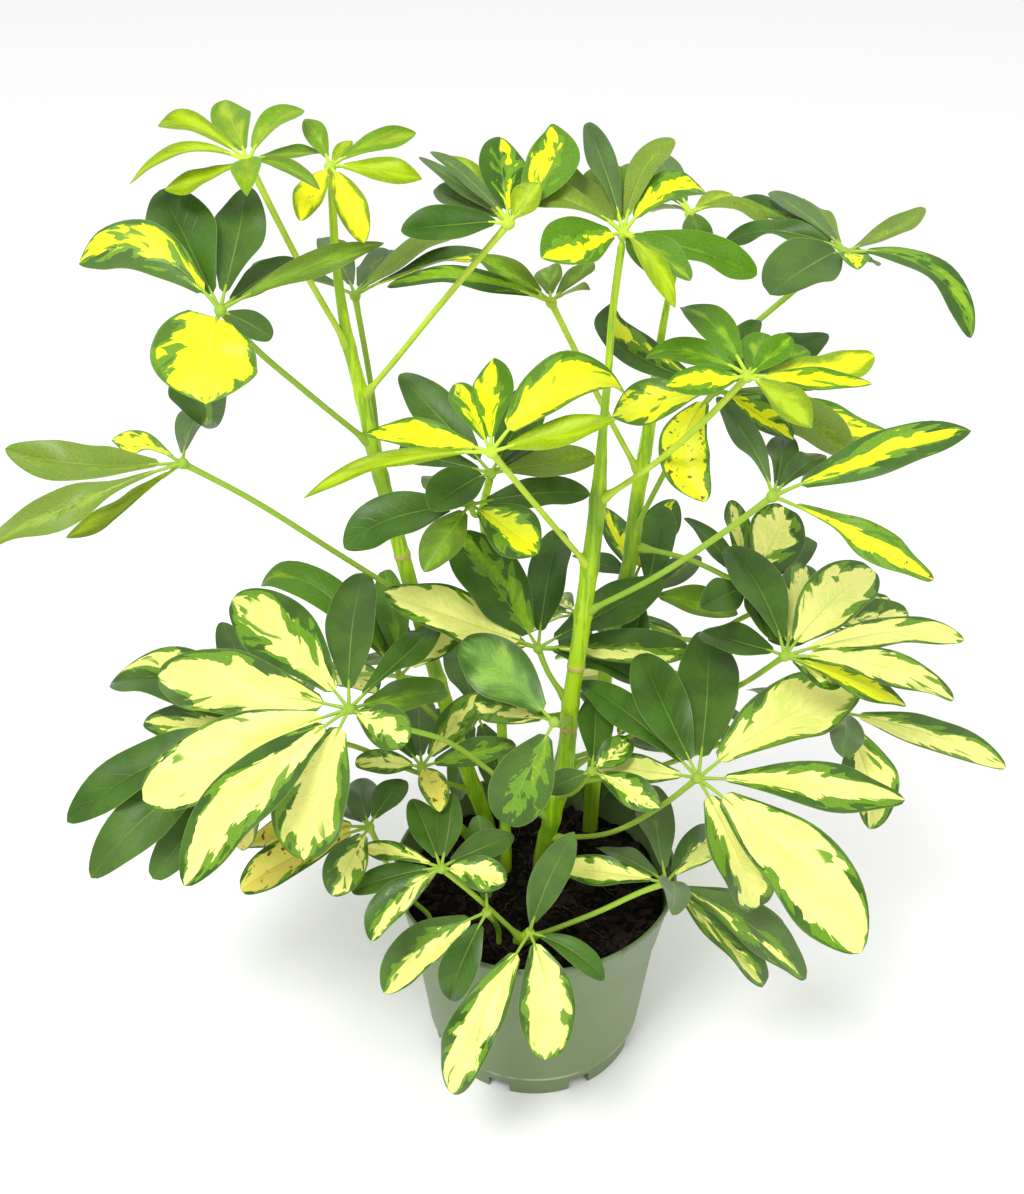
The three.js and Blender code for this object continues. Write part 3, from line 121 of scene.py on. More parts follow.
# Each leaf: its hub in the photograph (column, row, depth in millimetres), or the stem on whose tip it
# sits; and its leaflets by the column and row of their tips, with a look where it isn't dark and, where
# it isn't the look's own, the heart's share and its shift to one side
LEAVES = {
    "leaf_crown_left": ((248, 161, 20), [
        (130, 184, "lime"), (158, 126, "lime"), (226, 100, "fresh"), (303, 110, "fresh"),
        (322, 153, "fresh"), (165, 190, "lime"), (247, 196, "fresh"), (320, 190, "olive")]),
    "leaf_crown_tip": ("stem_left", [
        (305, 119, "fresh", 0.0), (416, 133, "fresh"), (422, 179, "lime"), (300, 221, "lemon"),
        (364, 243, "lemon"), (352, 141, "lime")]),
    "leaf_upper_left": ((220, 310, -8), [
        (79, 264, "yellow", 0.5, -0.4), (160, 190), (246, 187), (206, 404, "golden", 0.78),
        (384, 243, "olive"), (300, 262), (206, 428, "yellow", 0.1, 0.3), (272, 338)]),
    "leaf_behind_left": ((355, 295, 62), [
        (250, 268, "grey"), (389, 250, "grey"), (487, 252, "yellow", 0.3, -0.5), (468, 224, "pale"),
        (322, 238, "grey")]),
    "leaf_crown_middle": ((509, 223, -6), [
        (401, 231), (436, 188, "grey"), (419, 157, "grey"), (446, 156, "lime"), (430, 152, "grey"),
        (500, 137, "yellow", 0.3, 0.3), (554, 124, "golden", 0.35, 0.4), (540, 183, "lime"), (423, 232)]),
    "leaf_crown_top": ("stem_main", [
        (541, 258, "golden", 0.4, -0.2), (497, 207, "pale"), (534, 160, "pale"), (587, 123, "grey"),
        (674, 139, "pale"), (706, 193, "golden", 0.45), (690, 281, "mid"), (757, 275, "mid", -0.2),
        (654, 274, "mid"), (675, 308, "lime"), (604, 165, "fresh")]),
    "leaf_crown_back": ("stem_right", [
        (652, 212, "pale"), (732, 194, "lime"), (770, 228, "pale"), (655, 150, "grey"), (704, 262, "mid"),
        (622, 166, "grey")]),
    "leaf_upper_right": ((845, 252, 48), [
        (971, 338, "streak", 0.12, -0.4), (925, 208, "pale"), (858, 270, "golden", 0.5), (878, 266, "grey"),
        (770, 295), (724, 243), (738, 200, "streak", 0.2), (770, 192, "grey"), (806, 200, "pale")]),
    "leaf_crown_right": ((551, 302, 44), [
        (469, 256, "olive"), (387, 287, "streak", 0.3, 0.2), (548, 267, "olive"), (592, 261, "olive"),
        (590, 290, "lime"), (480, 284, "olive")]),
    "leaf_right_front": ((773, 496, -58), [
        (717, 397, "grey"), (824, 455), (971, 431, "yellow", 0.35), (934, 580, "worn", 0.6), (784, 437)]),
    "leaf_right_fan": ((748, 376, -42), [
        (684, 307, "mid"), (808, 350, "mid"), (874, 355, "lemon"), (872, 384, "golden", 0.6),
        (812, 428, "lime"), (646, 357, "mid"), (666, 386, "golden", 0.4), (764, 333, "mid"),
        (790, 336, "mid")]),
    "leaf_middle_fan": ((491, 452, -46), [
        (494, 358, "golden", 0.5, -0.2), (455, 384, "golden", 0.4), (626, 395, "golden", 0.75),
        (616, 420, "lime"), (365, 434, "golden", 0.6), (304, 498, "lime")]),
    "leaf_right_high": ((716, 390, 14), [
        (706, 502, "worn"), (850, 455, "pale"), (889, 432, "golden", 0.8), (612, 417, "golden", 0.75),
        (613, 302, "yellow", 0.1, 0.4), (828, 334), (757, 320), (793, 440, "yellow", 0.5)]),
    "leaf_centre_front": ((538, 648, 14), [
        (454, 535, "streak", 0.14, 0.25), (560, 529), (664, 579), (690, 650, "half", 0.3, -0.4), (638, 682),
        (384, 592, "cream"), (438, 626, "cream", 0.75)]),
    # The first leaflet of this leaf carries a painted highlight as its pale heart
    "leaf_centre_glossy": ((554, 722, -34), [
        (462, 641, "painted_highlight"), (506, 824, "streak", 0.12, 0.3), (474, 702, "half", 0.4, 0.4)]),
    "leaf_left_broad": ((349, 709, -50), [
        (232, 600, "cream", 0.55), (158, 676, "cream", 0.6), (143, 800, "cream", 0.98),
        (184, 886, "cream", 0.62), (304, 860, "cream", 0.62), (408, 742, "cream", 0.5), (363, 573),
        (441, 620), (446, 690, "mid")]),
    "leaf_low_right_broad": ((698, 778, -52), [
        (593, 763, "cream", 0.7), (578, 682), (640, 654), (708, 634), (855, 688, "cream", 0.8),
        (905, 800, "cream", 0.55), (861, 953, "cream", 0.85), (758, 907, "cream", 0.6)]),
    "leaf_low_right": ((666, 883, -46), [
        (652, 785, "grey"), (598, 848, "grey"), (672, 915, "grey"), (722, 832, "half", 0.35, 0.4),
        (785, 925, "grey"), (806, 979, "silver", 0.12, -0.35), (765, 984, "silver", 0.3, 0.2),
        (556, 868, "cream", 0.6)]),
    "leaf_front_fan": ((441, 868, -62), [
        (412, 799), (452, 793), (514, 836), (507, 880, "cream", 0.5), (362, 847, "cream", 0.6), (352, 892),
        (371, 941, "half", 0.4, -0.4), (404, 900, "cream", 0.7)]),
    "leaf_front_drop": ("stem_front", [
        (450, 1092, "cream", 0.62), (545, 1060, "cream", 0.66), (545, 857, "grey"), (574, 832),
        (604, 980)]),
    "leaf_front_left": ((487, 912, -60), [
        (384, 993, "half", 0.5, 0.45), (450, 1000), (478, 815)]),
    "leaf_left_far": ((182, 463, -22), [
        (5, 449, "pale"), (-18, 552, "pale"), (66, 538, "lime"), (112, 440, "golden"), (211, 402, "grey")]),
    "leaf_right_spray": ((785, 656, -24), [
        (727, 547), (872, 569, "cream", 0.8), (964, 640, "cream", 0.8), (954, 700, "cream", 0.7),
        (906, 706, "yellow", 0.7), (701, 632), (842, 684, "half"), (806, 566, "half")]),
    "leaf_left_under": ((290, 735, -16), [
        (67, 822), (91, 878), (153, 879), (111, 683, "half", 0.2, 0.7), (222, 622), (144, 722, "half", 0.4),
        (240, 850, "ochre")]),
    "leaf_left_inner": ((400, 676, 12), [
        (262, 583, "mid"), (326, 586), (385, 570, "mid"), (392, 614, "half"), (470, 600, "cream")]),
    "leaf_low_left": ((369, 827, -42), [
        (241, 890, "ochre"), (246, 846, "ochre"), (332, 896, "half", 0.5, 0.3), (340, 803), (362, 778),
        (404, 780)]),
    "leaf_low_inner": ("stem_low_left", [
        (516, 745, "streak"), (440, 812, "ochre"), (420, 693), (482, 692, "half"), (355, 763, "half"),
        (372, 706)]),
    "leaf_middle_back": ((470, 505, -2), [
        (344, 548), (424, 572, "olive", 0.5), (538, 554, "yellow", 0.45), (432, 476, "pale"), (590, 494)]),
    "leaf_middle_tip": ("stem_middle", [
        (400, 374), (536, 386), (400, 446), (548, 440), (596, 458, "pale"), (430, 510)]),
    "leaf_right_behind": ((826, 625, 34), [
        (889, 598, "half"), (908, 612, "half", 0.4), (800, 565, "grey"), (872, 668, "half"), (768, 640)]),
    "leaf_right_long": ((838, 712, 16), [
        (1006, 768, "cream", 0.6, -0.2), (869, 829, "cream", 0.6), (748, 690), (842, 757, "grey")]),
    "leaf_right_middle": ((748, 588, 28), [
        (731, 500, "half"), (684, 518), (787, 508, "half", 0.5, -0.2), (700, 608), (813, 540), (771, 640)]),
    "leaf_centre_right": ((646, 596, 42), [
        (738, 614, "olive"), (700, 556, "grey"), (664, 506), (628, 668)]),
    "leaf_centre_back": ((634, 579, 60), [
        (676, 500, "yellow", 0.35, -0.2), (602, 506, "yellow", 0.3), (572, 556)]),
    "leaf_centre_low": ((592, 771, -26), [
        (545, 792), (596, 697), (660, 808, "half"), (630, 740, "half", 0.4)]),
    "leaf_back_left": ((322, 672, 104), []),
    "leaf_back_top": ("stem_back", []),
    "leaf_back_middle": ((655, 668, 158), []),
    "leaf_back_side": ((478, 716, 72), [
        (450, 640), (506, 652), (542, 700, "half"), (502, 796), (458, 800), (414, 722)]),
    "leaf_back_low": ((614, 742, 80), [
        (574, 690), (640, 694, "half", 0.35), (664, 752), (636, 808), (588, 806)]),
}
UNSEEN_LOOKS = ("dark", "half", "cream", "dark", "streak", "half", "dark", "cream")
YOUNG_NODES = ("leaf_crown_left", "leaf_crown_tip", "leaf_crown_middle", "leaf_crown_top", "leaf_crown_back",
               "leaf_crown_right", "leaf_right_fan", "leaf_middle_fan")


def srgb(red, green, blue):
    """A colour given as 0 to 255 screen values, as linear values."""
    return tuple((c / 255 / 12.92) if c / 255 <= 0.04045 else ((c / 255 + 0.055) / 1.055) ** 2.4
                 for c in (red, green, blue))


def colour_property(name, red, green, blue):
    return FloatVectorProperty(
        name=name, description=f"{name} colour", subtype="COLOR", size=3, min=0, max=1,
        default=srgb(red, green, blue))


def length_property(name, description, millimetres):
    return FloatProperty(name=name, description=description, unit="LENGTH", default=millimetres * MM)


class PotSettings(bpy.types.PropertyGroup):
    green: colour_property("Plastic", 104, 124, 78)
    pale: colour_property("Worn plastic", 128, 145, 100)
    rim_radius: length_property("Rim radius", "Outer radius of the rim", 76)
    high: length_property("Height", "Height of the pot", 116)
    wall: length_property("Wall", "Thickness of the wall", 1.8)


class SoilSettings(bpy.types.PropertyGroup):
    dark: colour_property("Soil", 9, 7, 6)
    bark: colour_property("Bark", 34, 24, 18)
    root: colour_property("Roots", 112, 66, 40)
    top: length_property("Top", "Height of the soil's top", 101)
    bits: IntProperty(name="Bits", description="How thickly crumbs and bark chips lie", default=900)


class FoliageSettings(bpy.types.PropertyGroup):
    dark: colour_property("Dark green", 60, 98, 24)
    mid: colour_property("Middle green", 86, 134, 12)
    fresh: colour_property("Fresh green", 116, 162, 4)
    lime: colour_property("Lime", 140, 168, 1)
    bright: colour_property("Bright lime", 170, 196, 1)
    olive: colour_property("Olive", 108, 138, 22)
    grey: colour_property("Grey green", 88, 116, 66)
    pale: colour_property("Pale green", 122, 148, 48)
    # Green of a painted highlight, for the heart of a glossy-looking blade
    painted_highlight_green: colour_property("Painted highlight green", 122, 166, 82)
    cream: colour_property("Cream", 253, 250, 146)
    yellow: colour_property("Yellow", 246, 246, 16)
    ochre: colour_property("Ochre", 240, 224, 100)
    stalk_young: colour_property("Young stalk", 194, 220, 62)
    stalk_old: colour_property("Old stalk", 152, 186, 58)
    thickness: length_property("Blade thickness", "Thickness of a leaflet's blade", 0.5)
    hub_radius: length_property("Hub radius", "Radius of the knob that the leaflets spread from", 2.7)


class StemSettings(bpy.types.PropertyGroup):
    low: colour_property("Stem at the soil", 162, 208, 3)
    high: colour_property("Stem at the tip", 192, 226, 34)
    scar: colour_property("Leaf scars", 204, 178, 116)


class StageSettings(bpy.types.PropertyGroup):
    floor: colour_property("Floor", 250, 250, 250)
    key: FloatProperty(name="Key light", description="Power of the main soft light", unit="POWER", default=36)
    sky: FloatProperty(name="Sky", description="Strength of the light from above", default=1.15)
    horizon: FloatProperty(name="Horizon", description="Strength of the light from the sides", default=0.35)


# Reading the plain nodes

def welded(name):
    """Points of a plain node with its doubles joined, and for each point the set of its neighbours."""
    bm = bmesh.new()
    bm.from_mesh(NODES[name].data)
    bmesh.ops.remove_doubles(bm, verts=bm.verts, dist=2e-6)
    bm.verts.ensure_lookup_table()
    points = np.array([vert.co[:] for vert in bm.verts])
    beside = [{edge.other_vert(vert).index for edge in vert.link_edges} for vert in bm.verts]
    bm.free()
    return points, beside


def unit(vector):
    return vector / (np.linalg.norm(vector, axis=-1, keepdims=True) + 1e-12)


def seen_at(column, row, depth):
    """The point that the photograph shows at a column and row, at a depth in millimetres."""
    sight = FOCAL * FORWARD + (column - PHOTO_WIDE / 2) * RIGHTWARD + (PHOTO_HIGH / 2 - row) * UPWARD
    return CAMERA_AT + sight * ((depth * MM - CAMERA_AT[1]) / sight[1])


def photo_place(point):
    away = point - CAMERA_AT
    scale = FOCAL / (away @ FORWARD)
    return np.array([PHOTO_WIDE / 2 + scale * (away @ RIGHTWARD), PHOTO_HIGH / 2 - scale * (away @ UPWARD)])


def stem_rings(name):
    """Centres and radii of the rings of a plain stem, from its foot to its tip."""
    points, beside = welded(name)
    level = set(np.nonzero(points[:, 2] < points[:, 2].min() + 1e-4)[0])
    seen, centres, radii = set(), [], []
    while level:
        ring = points[list(level)]
        centres.append(ring.mean(0))
        radii.append(np.linalg.norm(ring - ring.mean(0), axis=1).mean())
        seen |= level
        level = set().union(*(beside[i] for i in level)) - seen
    return np.array(centres), np.array(radii)


HUB_KNOB = 3.9 * MM
KNOB_GAP = 0.35 * MM
# How far from the hub a leaflet's tip, its first ring and the petiole's first ring are at the least,
# and how near to each other the points of one ring of a petiole are
NEAREST_TIP = 12 * MM
NEAREST_RING = 5 * MM
NEAREST_PETIOLE = 10.5 * MM
RING_SPREAD = 3.5 * MM


def hub_of(name):
    place = LEAVES[name][0]
    if isinstance(place, str):
        centres, _ = stem_rings(place)
        return centres[-1] + unit(centres[-1] - centres[-2]) * (HUB_KNOB + KNOB_GAP)
    return seen_at(*place)


def first_ring(here, points):
    """The four points behind a blade's tip: its edges are the two that lie farthest apart."""
    pairs = [(a, b) for a in here for b in here if a < b]
    left, right = max(pairs, key=lambda pair: np.linalg.norm(points[pair[0]] - points[pair[1]]))
    upper, lower = [i for i in here if i not in (left, right)]
    return left, upper, right, lower


def ring_after(last, here, beside):
    """The next four points of a blade, ordered as its last four, or None where two blades run together."""
    left, right = ([i for i in here if i in beside[last[k]]] for k in (0, 2))
    if len(left) != 1 or len(right) != 1 or left == right:
        return None
    middles = [i for i in here if i not in left + right]
    upper = next((i for i in middles if i in beside[last[1]]), None)
    if upper is None:
        return None
    return left[0], upper, right[0], next(i for i in middles if i != upper)


def plain_leaflets(points, beside, hub):
    """Tip and rings (left, upper middle, right, lower middle) of each plain leaflet, from tip to hub."""
    away = np.linalg.norm(points - hub, axis=1)
    found = []
    for tip in range(len(points)):
        if len(beside[tip]) != 4 or away[tip] < NEAREST_TIP:
            continue
        rings, seen, level = [], {tip}, set(beside[tip])
        while len(level) == 4:
            here = list(level)
            ring = ring_after(rings[-1], here, beside) if rings else first_ring(here, points)
            if ring is None or away[here].mean() < NEAREST_RING:
                break
            rings.append(ring)
            seen |= level
            level = set().union(*(beside[i] for i in level)) - seen
        if len(rings) >= 2:
            found.append((tip, rings))
    return found


@functools.lru_cache(maxsize=None)
def read_leaf(name):
    """Points, hub, leaflets and petiole of a plain leaf."""
    points, beside = welded(name)
    hub = hub_of(name)
    leaflets = plain_leaflets(points, beside, hub)
    used = {i for tip, rings in leaflets for ring in rings for i in (*ring, tip)}
    return points, hub, leaflets, stalk_path(points, used, hub)


STEM_SAMPLES = 240


@functools.lru_cache(maxsize=None)
def stem_line(name):
    """Lengths, points and radii along the middle line of a plain stem."""
    centres, radii = stem_rings(name)
    at = lengths_along(centres)
    fine = np.linspace(0, at[-1], STEM_SAMPLES)
    return fine, smooth_through(at, centres, fine), np.interp(fine, at, radii)


def nearest_stem(point):
    """The stem nearest to a point, with the length along it, the point of its middle line, and its radius."""
    best = None
    for name in STEMS:
        fine, line, radii = stem_line(name)
        away = np.linalg.norm(line - point, axis=1)
        k = away.argmin()
        if best is None or away[k] - radii[k] < best[0]:
            best = (away[k] - radii[k], name, fine[k], line[k], radii[k])
    return best


def turned_up(points, rings):
    """The rings with their middles exchanged where a leaflet was read upside down: blades fold upwards."""
    fold = sum((points[left] + points[right] - points[upper] - points[lower]) / 2
               @ unit(points[upper] - points[lower]) for left, upper, right, lower in rings)
    return rings if fold >= 0 else [(right, lower, left, upper) for left, upper, right, lower in rings]


def stalk_path(points, used, hub):
    """Middles of the rings of the petiole, from its foot to the hub, from the points that no leaflet has."""
    away = np.linalg.norm(points - hub, axis=1)
    groups = []
    for i in (i for i in range(len(points)) if i not in used and away[i] > NEAREST_PETIOLE):
        near = [g for g in groups if any(np.linalg.norm(points[i] - points[j]) < RING_SPREAD for j in g)]
        groups = [g for g in groups if g not in near] + [sum(near, [i])]
    middles = [points[g].mean(0) for g in groups if len(g) >= 4]
    middles.sort(key=lambda middle: -np.linalg.norm(middle - hub))
    return np.array(middles + [hub]) if middles else None


# Shapes

def smooth_through(stations, values, at):
    """A smooth curve through values at stations, read at the given stations."""
    stations, values, at = np.asarray(stations), np.asarray(values), np.asarray(at)
    steps = np.diff(stations)
    rises = np.diff(values, axis=0) / steps[:, None]
    slopes = np.empty_like(values)
    slopes[0], slopes[-1] = rises[0], rises[-1]
    slopes[1:-1] = ((rises[:-1] * steps[1:, None] + rises[1:] * steps[:-1, None])
                    / (steps[:-1] + steps[1:])[:, None])
    leg = np.clip(np.searchsorted(stations, at, side="right") - 1, 0, len(steps) - 1)
    step = steps[leg][:, None]
    share = np.clip((at - stations[leg])[:, None] / step, 0, 1)
    low, high = values[leg], values[leg + 1]
    return ((2 * share ** 3 - 3 * share ** 2 + 1) * low
            + (share ** 3 - 2 * share ** 2 + share) * step * slopes[leg]
            + (3 * share ** 2 - 2 * share ** 3) * high
            + (share ** 3 - share ** 2) * step * slopes[leg + 1])


def lengths_along(points):
    return np.concatenate([[0], np.cumsum(np.linalg.norm(np.diff(points, axis=0), axis=1))])


COLOURS = ("body", "heart")


class Form:
    """Points, faces, values at points and materials of one piece, gathered before its mesh is made."""

    def __init__(self):
        self.points, self.faces, self.materials = [], [], []
        self.values = {name: [] for name in ("place", "kind", "flat", *COLOURS)}

    def add(self, points, faces, material, **values):
        first = len(self.points)
        self.points.extend(map(tuple, points))
        self.faces.extend(tuple(first + i for i in face) for face in faces)
        self.materials.extend([material] * len(faces))
        for name, kept in self.values.items():
            width = 4 if name in COLOURS else 3
            value = np.asarray(values.get(name, np.zeros(width)), float)
            kept.extend(map(tuple, np.broadcast_to(value, (len(points), width))))

    def piece(self, name, materials, sharp=50):
        mesh = bpy.data.meshes.new(name)
        mesh.from_pydata(self.points, [], self.faces)
        for material in materials:
            mesh.materials.append(material)
        mesh.polygons.foreach_set("material_index", self.materials)
        for label, kept in self.values.items():
            kind, field = ("FLOAT_COLOR", "color") if label in COLOURS else ("FLOAT_VECTOR", "vector")
            layer = mesh.attributes.new(label, kind, "POINT")
            layer.data.foreach_set(field, np.array(kept, np.float32).reshape(-1))
        piece = bpy.data.objects.new(name, mesh)
        bpy.context.scene.collection.objects.link(piece)
        smooth_mesh(mesh, sharp)
        return piece


def smooth_mesh(mesh, sharp):
    """Turns the faces outwards, and keeps only edges above an angle sharp."""
    bm = bmesh.new()
    bm.from_mesh(mesh)
    bmesh.ops.recalc_face_normals(bm, faces=bm.faces)
    bm.to_mesh(mesh)
    bm.free()
    mesh.shade_smooth()
    mesh.set_sharp_from_angle(angle=math.radians(sharp))


BLADE_ROWS = 24
BLADE_COLUMNS = np.array([-1, -0.84, -0.58, -0.3, -0.07, 0, 0.07, 0.3, 0.58, 0.84, 1])
CAMBER = 0.07
GROOVE = 0.15 * MM
RIB = 0.5 * MM
RIPPLE = 0.035
MARGIN_THIN = 0.35
SEEN_UNDERSIDE = 0.15
# Rings above this share of the greatest width tell which way the blade's sides face
BROAD = 0.45
# A blade whose first ring is narrow starts there; one that is full starts nearer to the hub
NARROW = 0.3
FULL_START = 0.15
FULL_BELOW = 0.11
BEFORE_FIRST = 0.82
FULL_FROM = 0.06
# Half widths at the foot and at the tip, and the least half width between them
FOOT_WIDTH, TIP_WIDTH, NARROWEST = 0.6 * MM, 0.15 * MM, 0.3 * MM
# How slim the end of a blade is: from a rounded to a pointed one, and how far that varies
ROUNDED, POINTED, POINT_VARIES = 0.42, 0.66, 0.22
FEWEST_WAVES = 1.5
PATTERNS_APART = 90
ROW_CROWDING = (0.045, -0.09)
BODY_VARIES = 0.24
HEART_VARIES = 0.06


def blade_width(share, full, pointed):
    """Half width of a blade at a share of its length, as a share of its greatest half width."""
    share = np.clip(share, 0, 1)
    skew, near = (1.06, 0.42) if full else (1.4, 1.0)
    bulge = np.clip(np.sin(np.pi * share ** skew), 0, 1)
    return bulge ** (near + (pointed - near) * share)


@functools.lru_cache(maxsize=None)
def blade_faces():
    """Faces of every blade: its top and its underside, column by column, and the wall round its margin."""
    cols, count = len(BLADE_COLUMNS), BLADE_ROWS + 1

    def corner(column, row, under):
        return (column + under * cols) * count + row

    faces = []
    for c in range(cols - 1):
        for r in range(BLADE_ROWS):
            faces.append([corner(c, r, 0), corner(c + 1, r, 0), corner(c + 1, r + 1, 0), corner(c, r + 1, 0)])
            faces.append([corner(c, r, 1), corner(c, r + 1, 1), corner(c + 1, r + 1, 1), corner(c + 1, r, 1)])
    border = ([(c, 0) for c in range(cols)] + [(cols - 1, r) for r in range(1, count)]
              + [(c, count - 1) for c in range(cols - 2, -1, -1)] + [(0, r) for r in range(count - 2, 0, -1)])
    for here, after in zip(border, border[1:] + border[:1]):
        faces.append([corner(*here, 0), corner(*here, 1), corner(*after, 1), corner(*after, 0)])
    return faces


def add_blade(form, hub, tip, rings, points, look, dice, settings):
    """One leaflet's blade: an upper and a lower face along its rings, and a thin wall round its margin."""
    rings = rings[::-1]
    middles = [hub] + [(points[u] + points[d]) / 2 for _, u, _, d in rings] + [tip]
    at = lengths_along(np.array(middles))
    long = at[-1]
    at = at / long
    wide = [np.linalg.norm(points[r] - points[l]) / 2 for l, _, r, _ in rings]
    half = max(wide)
    broad = [k for k, w in enumerate(wide) if w > BROAD * half]
    stations = [0, *(at[k + 1] for k in broad), 1]
    ways = []
    for edge in (0, 2):
        way = [unit(points[rings[k][edge]] - middles[k + 1]) for k in broad]
        ways.append([way[0], *way, way[-1]])
    first = at[1] if wide[0] < NARROW * half else min(FULL_START, at[1] * 0.5)
    full = first < FULL_BELOW
    pointed = (POINTED if look.pointed else ROUNDED) + POINT_VARIES * dice.random()
    rows = np.arange(BLADE_ROWS + 1) / BLADE_ROWS
    for crowding in ROW_CROWDING:
        rows = rows + crowding * np.sin(TURN * rows)
    start = first * BEFORE_FIRST
    reach = start + (1 - start) * rows
    middle = smooth_through(at, middles, reach)
    heading = unit(np.gradient(middle, axis=0))
    left, right = (unit(smooth_through(stations, way, reach)) for way in ways)
    upper = unit(np.cross(unit(right - left), heading))
    share = FULL_FROM + (1 - FULL_FROM) * rows if full else reach
    width = np.maximum(half * blade_width(share, full, pointed), NARROWEST)
    width[0], width[-1] = FOOT_WIDTH, TIP_WIDTH
    phase, waves = dice.random() * TURN, FEWEST_WAVES * (1 + dice.random())
    ripple = RIPPLE * half * np.sin(TURN * waves * rows + phase) * np.sin(np.pi * rows)
    taper = np.clip(1 - rows, 0, 1)
    tops, bottoms, place, flat = [], [], [], []
    for v in BLADE_COLUMNS:
        base = middle + (right if v > 0 else left) * (abs(v) * width)[:, None]
        lift = CAMBER * width * 4 * (abs(v) - v * v) + ripple * abs(v) ** 3 * (1 if v > 0 else -0.7)
        thick = np.minimum(settings.thickness / 2 * (1 - (1 - MARGIN_THIN) * v * v), width * 0.5)
        groove = GROOVE * (v == 0) * np.clip(rows * 6, 0, 1) * taper
        tops.append(base + upper * (lift + thick - groove)[:, None])
        bottoms.append(base + upper * (lift - thick - RIB * (v == 0) * taper)[:, None])
        place.append(np.stack([rows, np.full_like(rows, v), width / MM], 1))
        flat.append(np.stack([v * width / MM, rows * long / MM, np.zeros_like(rows)], 1))
    vertices = np.concatenate(tops + bottoms)
    place, flat = np.concatenate(place + place), np.concatenate(flat + flat)
    flat[:, 2] = dice.random() * PATTERNS_APART
    kind = np.zeros((len(vertices), 3))
    kind[:, 0], kind[:, 1] = look.soft, look.age
    seen_below = np.mean(np.sum(upper * unit(CAMERA_AT - middle), axis=1)) < 0
    kind[len(vertices) // 2:, 2] = SEEN_UNDERSIDE if seen_below else 1
    body = np.array(getattr(settings, look.body)) * (1 + BODY_VARIES * (dice.random() - 0.5))
    heart = np.array(getattr(settings, look.heart)) * (1 + HEART_VARIES * (dice.random() - 0.5))
    form.add(vertices, blade_faces(), 0, place=place, kind=kind, flat=flat,
             body=[*body, look.shift], heart=[*heart, look.share])
    return smooth_through(at, middles, np.linspace(0, start + 0.06, 6))


def ring_of(radius, height, sides):
    return [(radius * math.cos(TURN * k / sides), radius * math.sin(TURN * k / sides), height)
            for k in range(sides)]


def wheel_faces(rings, sides):
    """Faces of a closed body of a first point, rings of equally many points, and a last point."""
    faces, top = [], 1 + (rings - 1) * sides
    for here in range(sides):
        after = (here + 1) % sides
        faces.append((0, 1 + after, 1 + here))
        for low in range(1, top, sides):
            faces.append((low + here, low + after, low + sides + after, low + sides + here))
        faces.append((top + sides, top + here, top + after))
    return faces


def turned(profile, sides):
    """Points and faces of a body turned round the upright axis from a profile that starts and ends on it."""
    (_, foot), *rings, (_, head) = profile
    points = [point for radius, height in rings for point in ring_of(radius, height, sides)]
    return [(0, 0, foot), *points, (0, 0, head)], wheel_faces(len(rings), sides)


# The knob's profile: radius and height, as shares of the knob's radius
KNOB = ((0, -1.25), (0.55, -1.1), (0.9, -0.55), (1, 0), (0.86, 0.42), (0.5, 0.62), (0, 0.55))


def add_knob(form, hub, axis, radius, **values):
    """The knob that leaflets spread from: a rounded disc with a dimpled top."""
    across = unit(np.cross(axis, [0.3, 1, 0.2]))
    points, faces = turned(KNOB, 12)
    turns = np.array([across, np.cross(axis, across), axis])
    form.add(hub + radius * np.array(points) @ turns, faces, 1, **values)


# Stalks along paths, made by Geometry Nodes

def new_tree(name, inputs):
    """A tree with named inputs, each of a kind and with a start value, and the inputs' identifiers."""
    tree = bpy.data.node_groups.new(name, "GeometryNodeTree")
    tree.interface.new_socket("Geometry", in_out="INPUT", socket_type="NodeSocketGeometry")
    names = {}
    for label, (kind, start) in inputs.items():
        socket = tree.interface.new_socket(label, in_out="INPUT", socket_type="NodeSocket" + kind)
        if start is not None:
            socket.default_value = start
        names[label] = socket.identifier
    tree.interface.new_socket("Geometry", in_out="OUTPUT", socket_type="NodeSocketGeometry")
    return tree, names


def new_nodes(tree, *kinds):
    return [tree.nodes.new(kind) for kind in kinds]


def wire(tree, *wires):
    """Links a tree's sockets: each wire is a node and its output, then a node and its input."""
    for here, output, there, given in wires:
        tree.links.new(here.outputs[output], there.inputs[given])


def end_tree(tree, given, last, output):
    """Makes what the last node gives real mesh, sets its material, and hands it out."""
    real, paint, made = new_nodes(
        tree, "GeometryNodeRealizeInstances", "GeometryNodeSetMaterial", "NodeGroupOutput")
    wire(tree, (last, output, real, "Geometry"), (real, "Geometry", paint, "Geometry"),
         (given, "Finish", paint, "Material"), (paint, "Geometry", made, "Geometry"))


def stalk_tree():
    """A tree that gives every path in its mesh a round skin; the radius is read from the path's points."""
    tree, names = new_tree("Stalk along path", {
        "Sides": ("Int", 8), "Radius scale": ("Float", 1.0), "Finish": ("Material", None)})
    given, path, radius, times, ring, skin = new_nodes(
        tree, "NodeGroupInput", "GeometryNodeMeshToCurve", "GeometryNodeInputNamedAttribute",
        "ShaderNodeMath", "GeometryNodeCurvePrimitiveCircle", "GeometryNodeCurveToMesh")
    radius.data_type, times.operation = "FLOAT", "MULTIPLY"
    radius.inputs["Name"].default_value = "thick"
    ring.inputs["Radius"].default_value = 1.0
    skin.inputs["Fill Caps"].default_value = True
    wire(tree, (given, "Geometry", path, "Mesh"), (radius, "Attribute", times, 0),
         (given, "Radius scale", times, 1), (times, 0, skin, "Scale"), (path, "Curve", skin, "Curve"),
         (given, "Sides", ring, "Resolution"), (ring, "Curve", skin, "Profile Curve"))
    end_tree(tree, given, skin, "Mesh")
    return tree, names


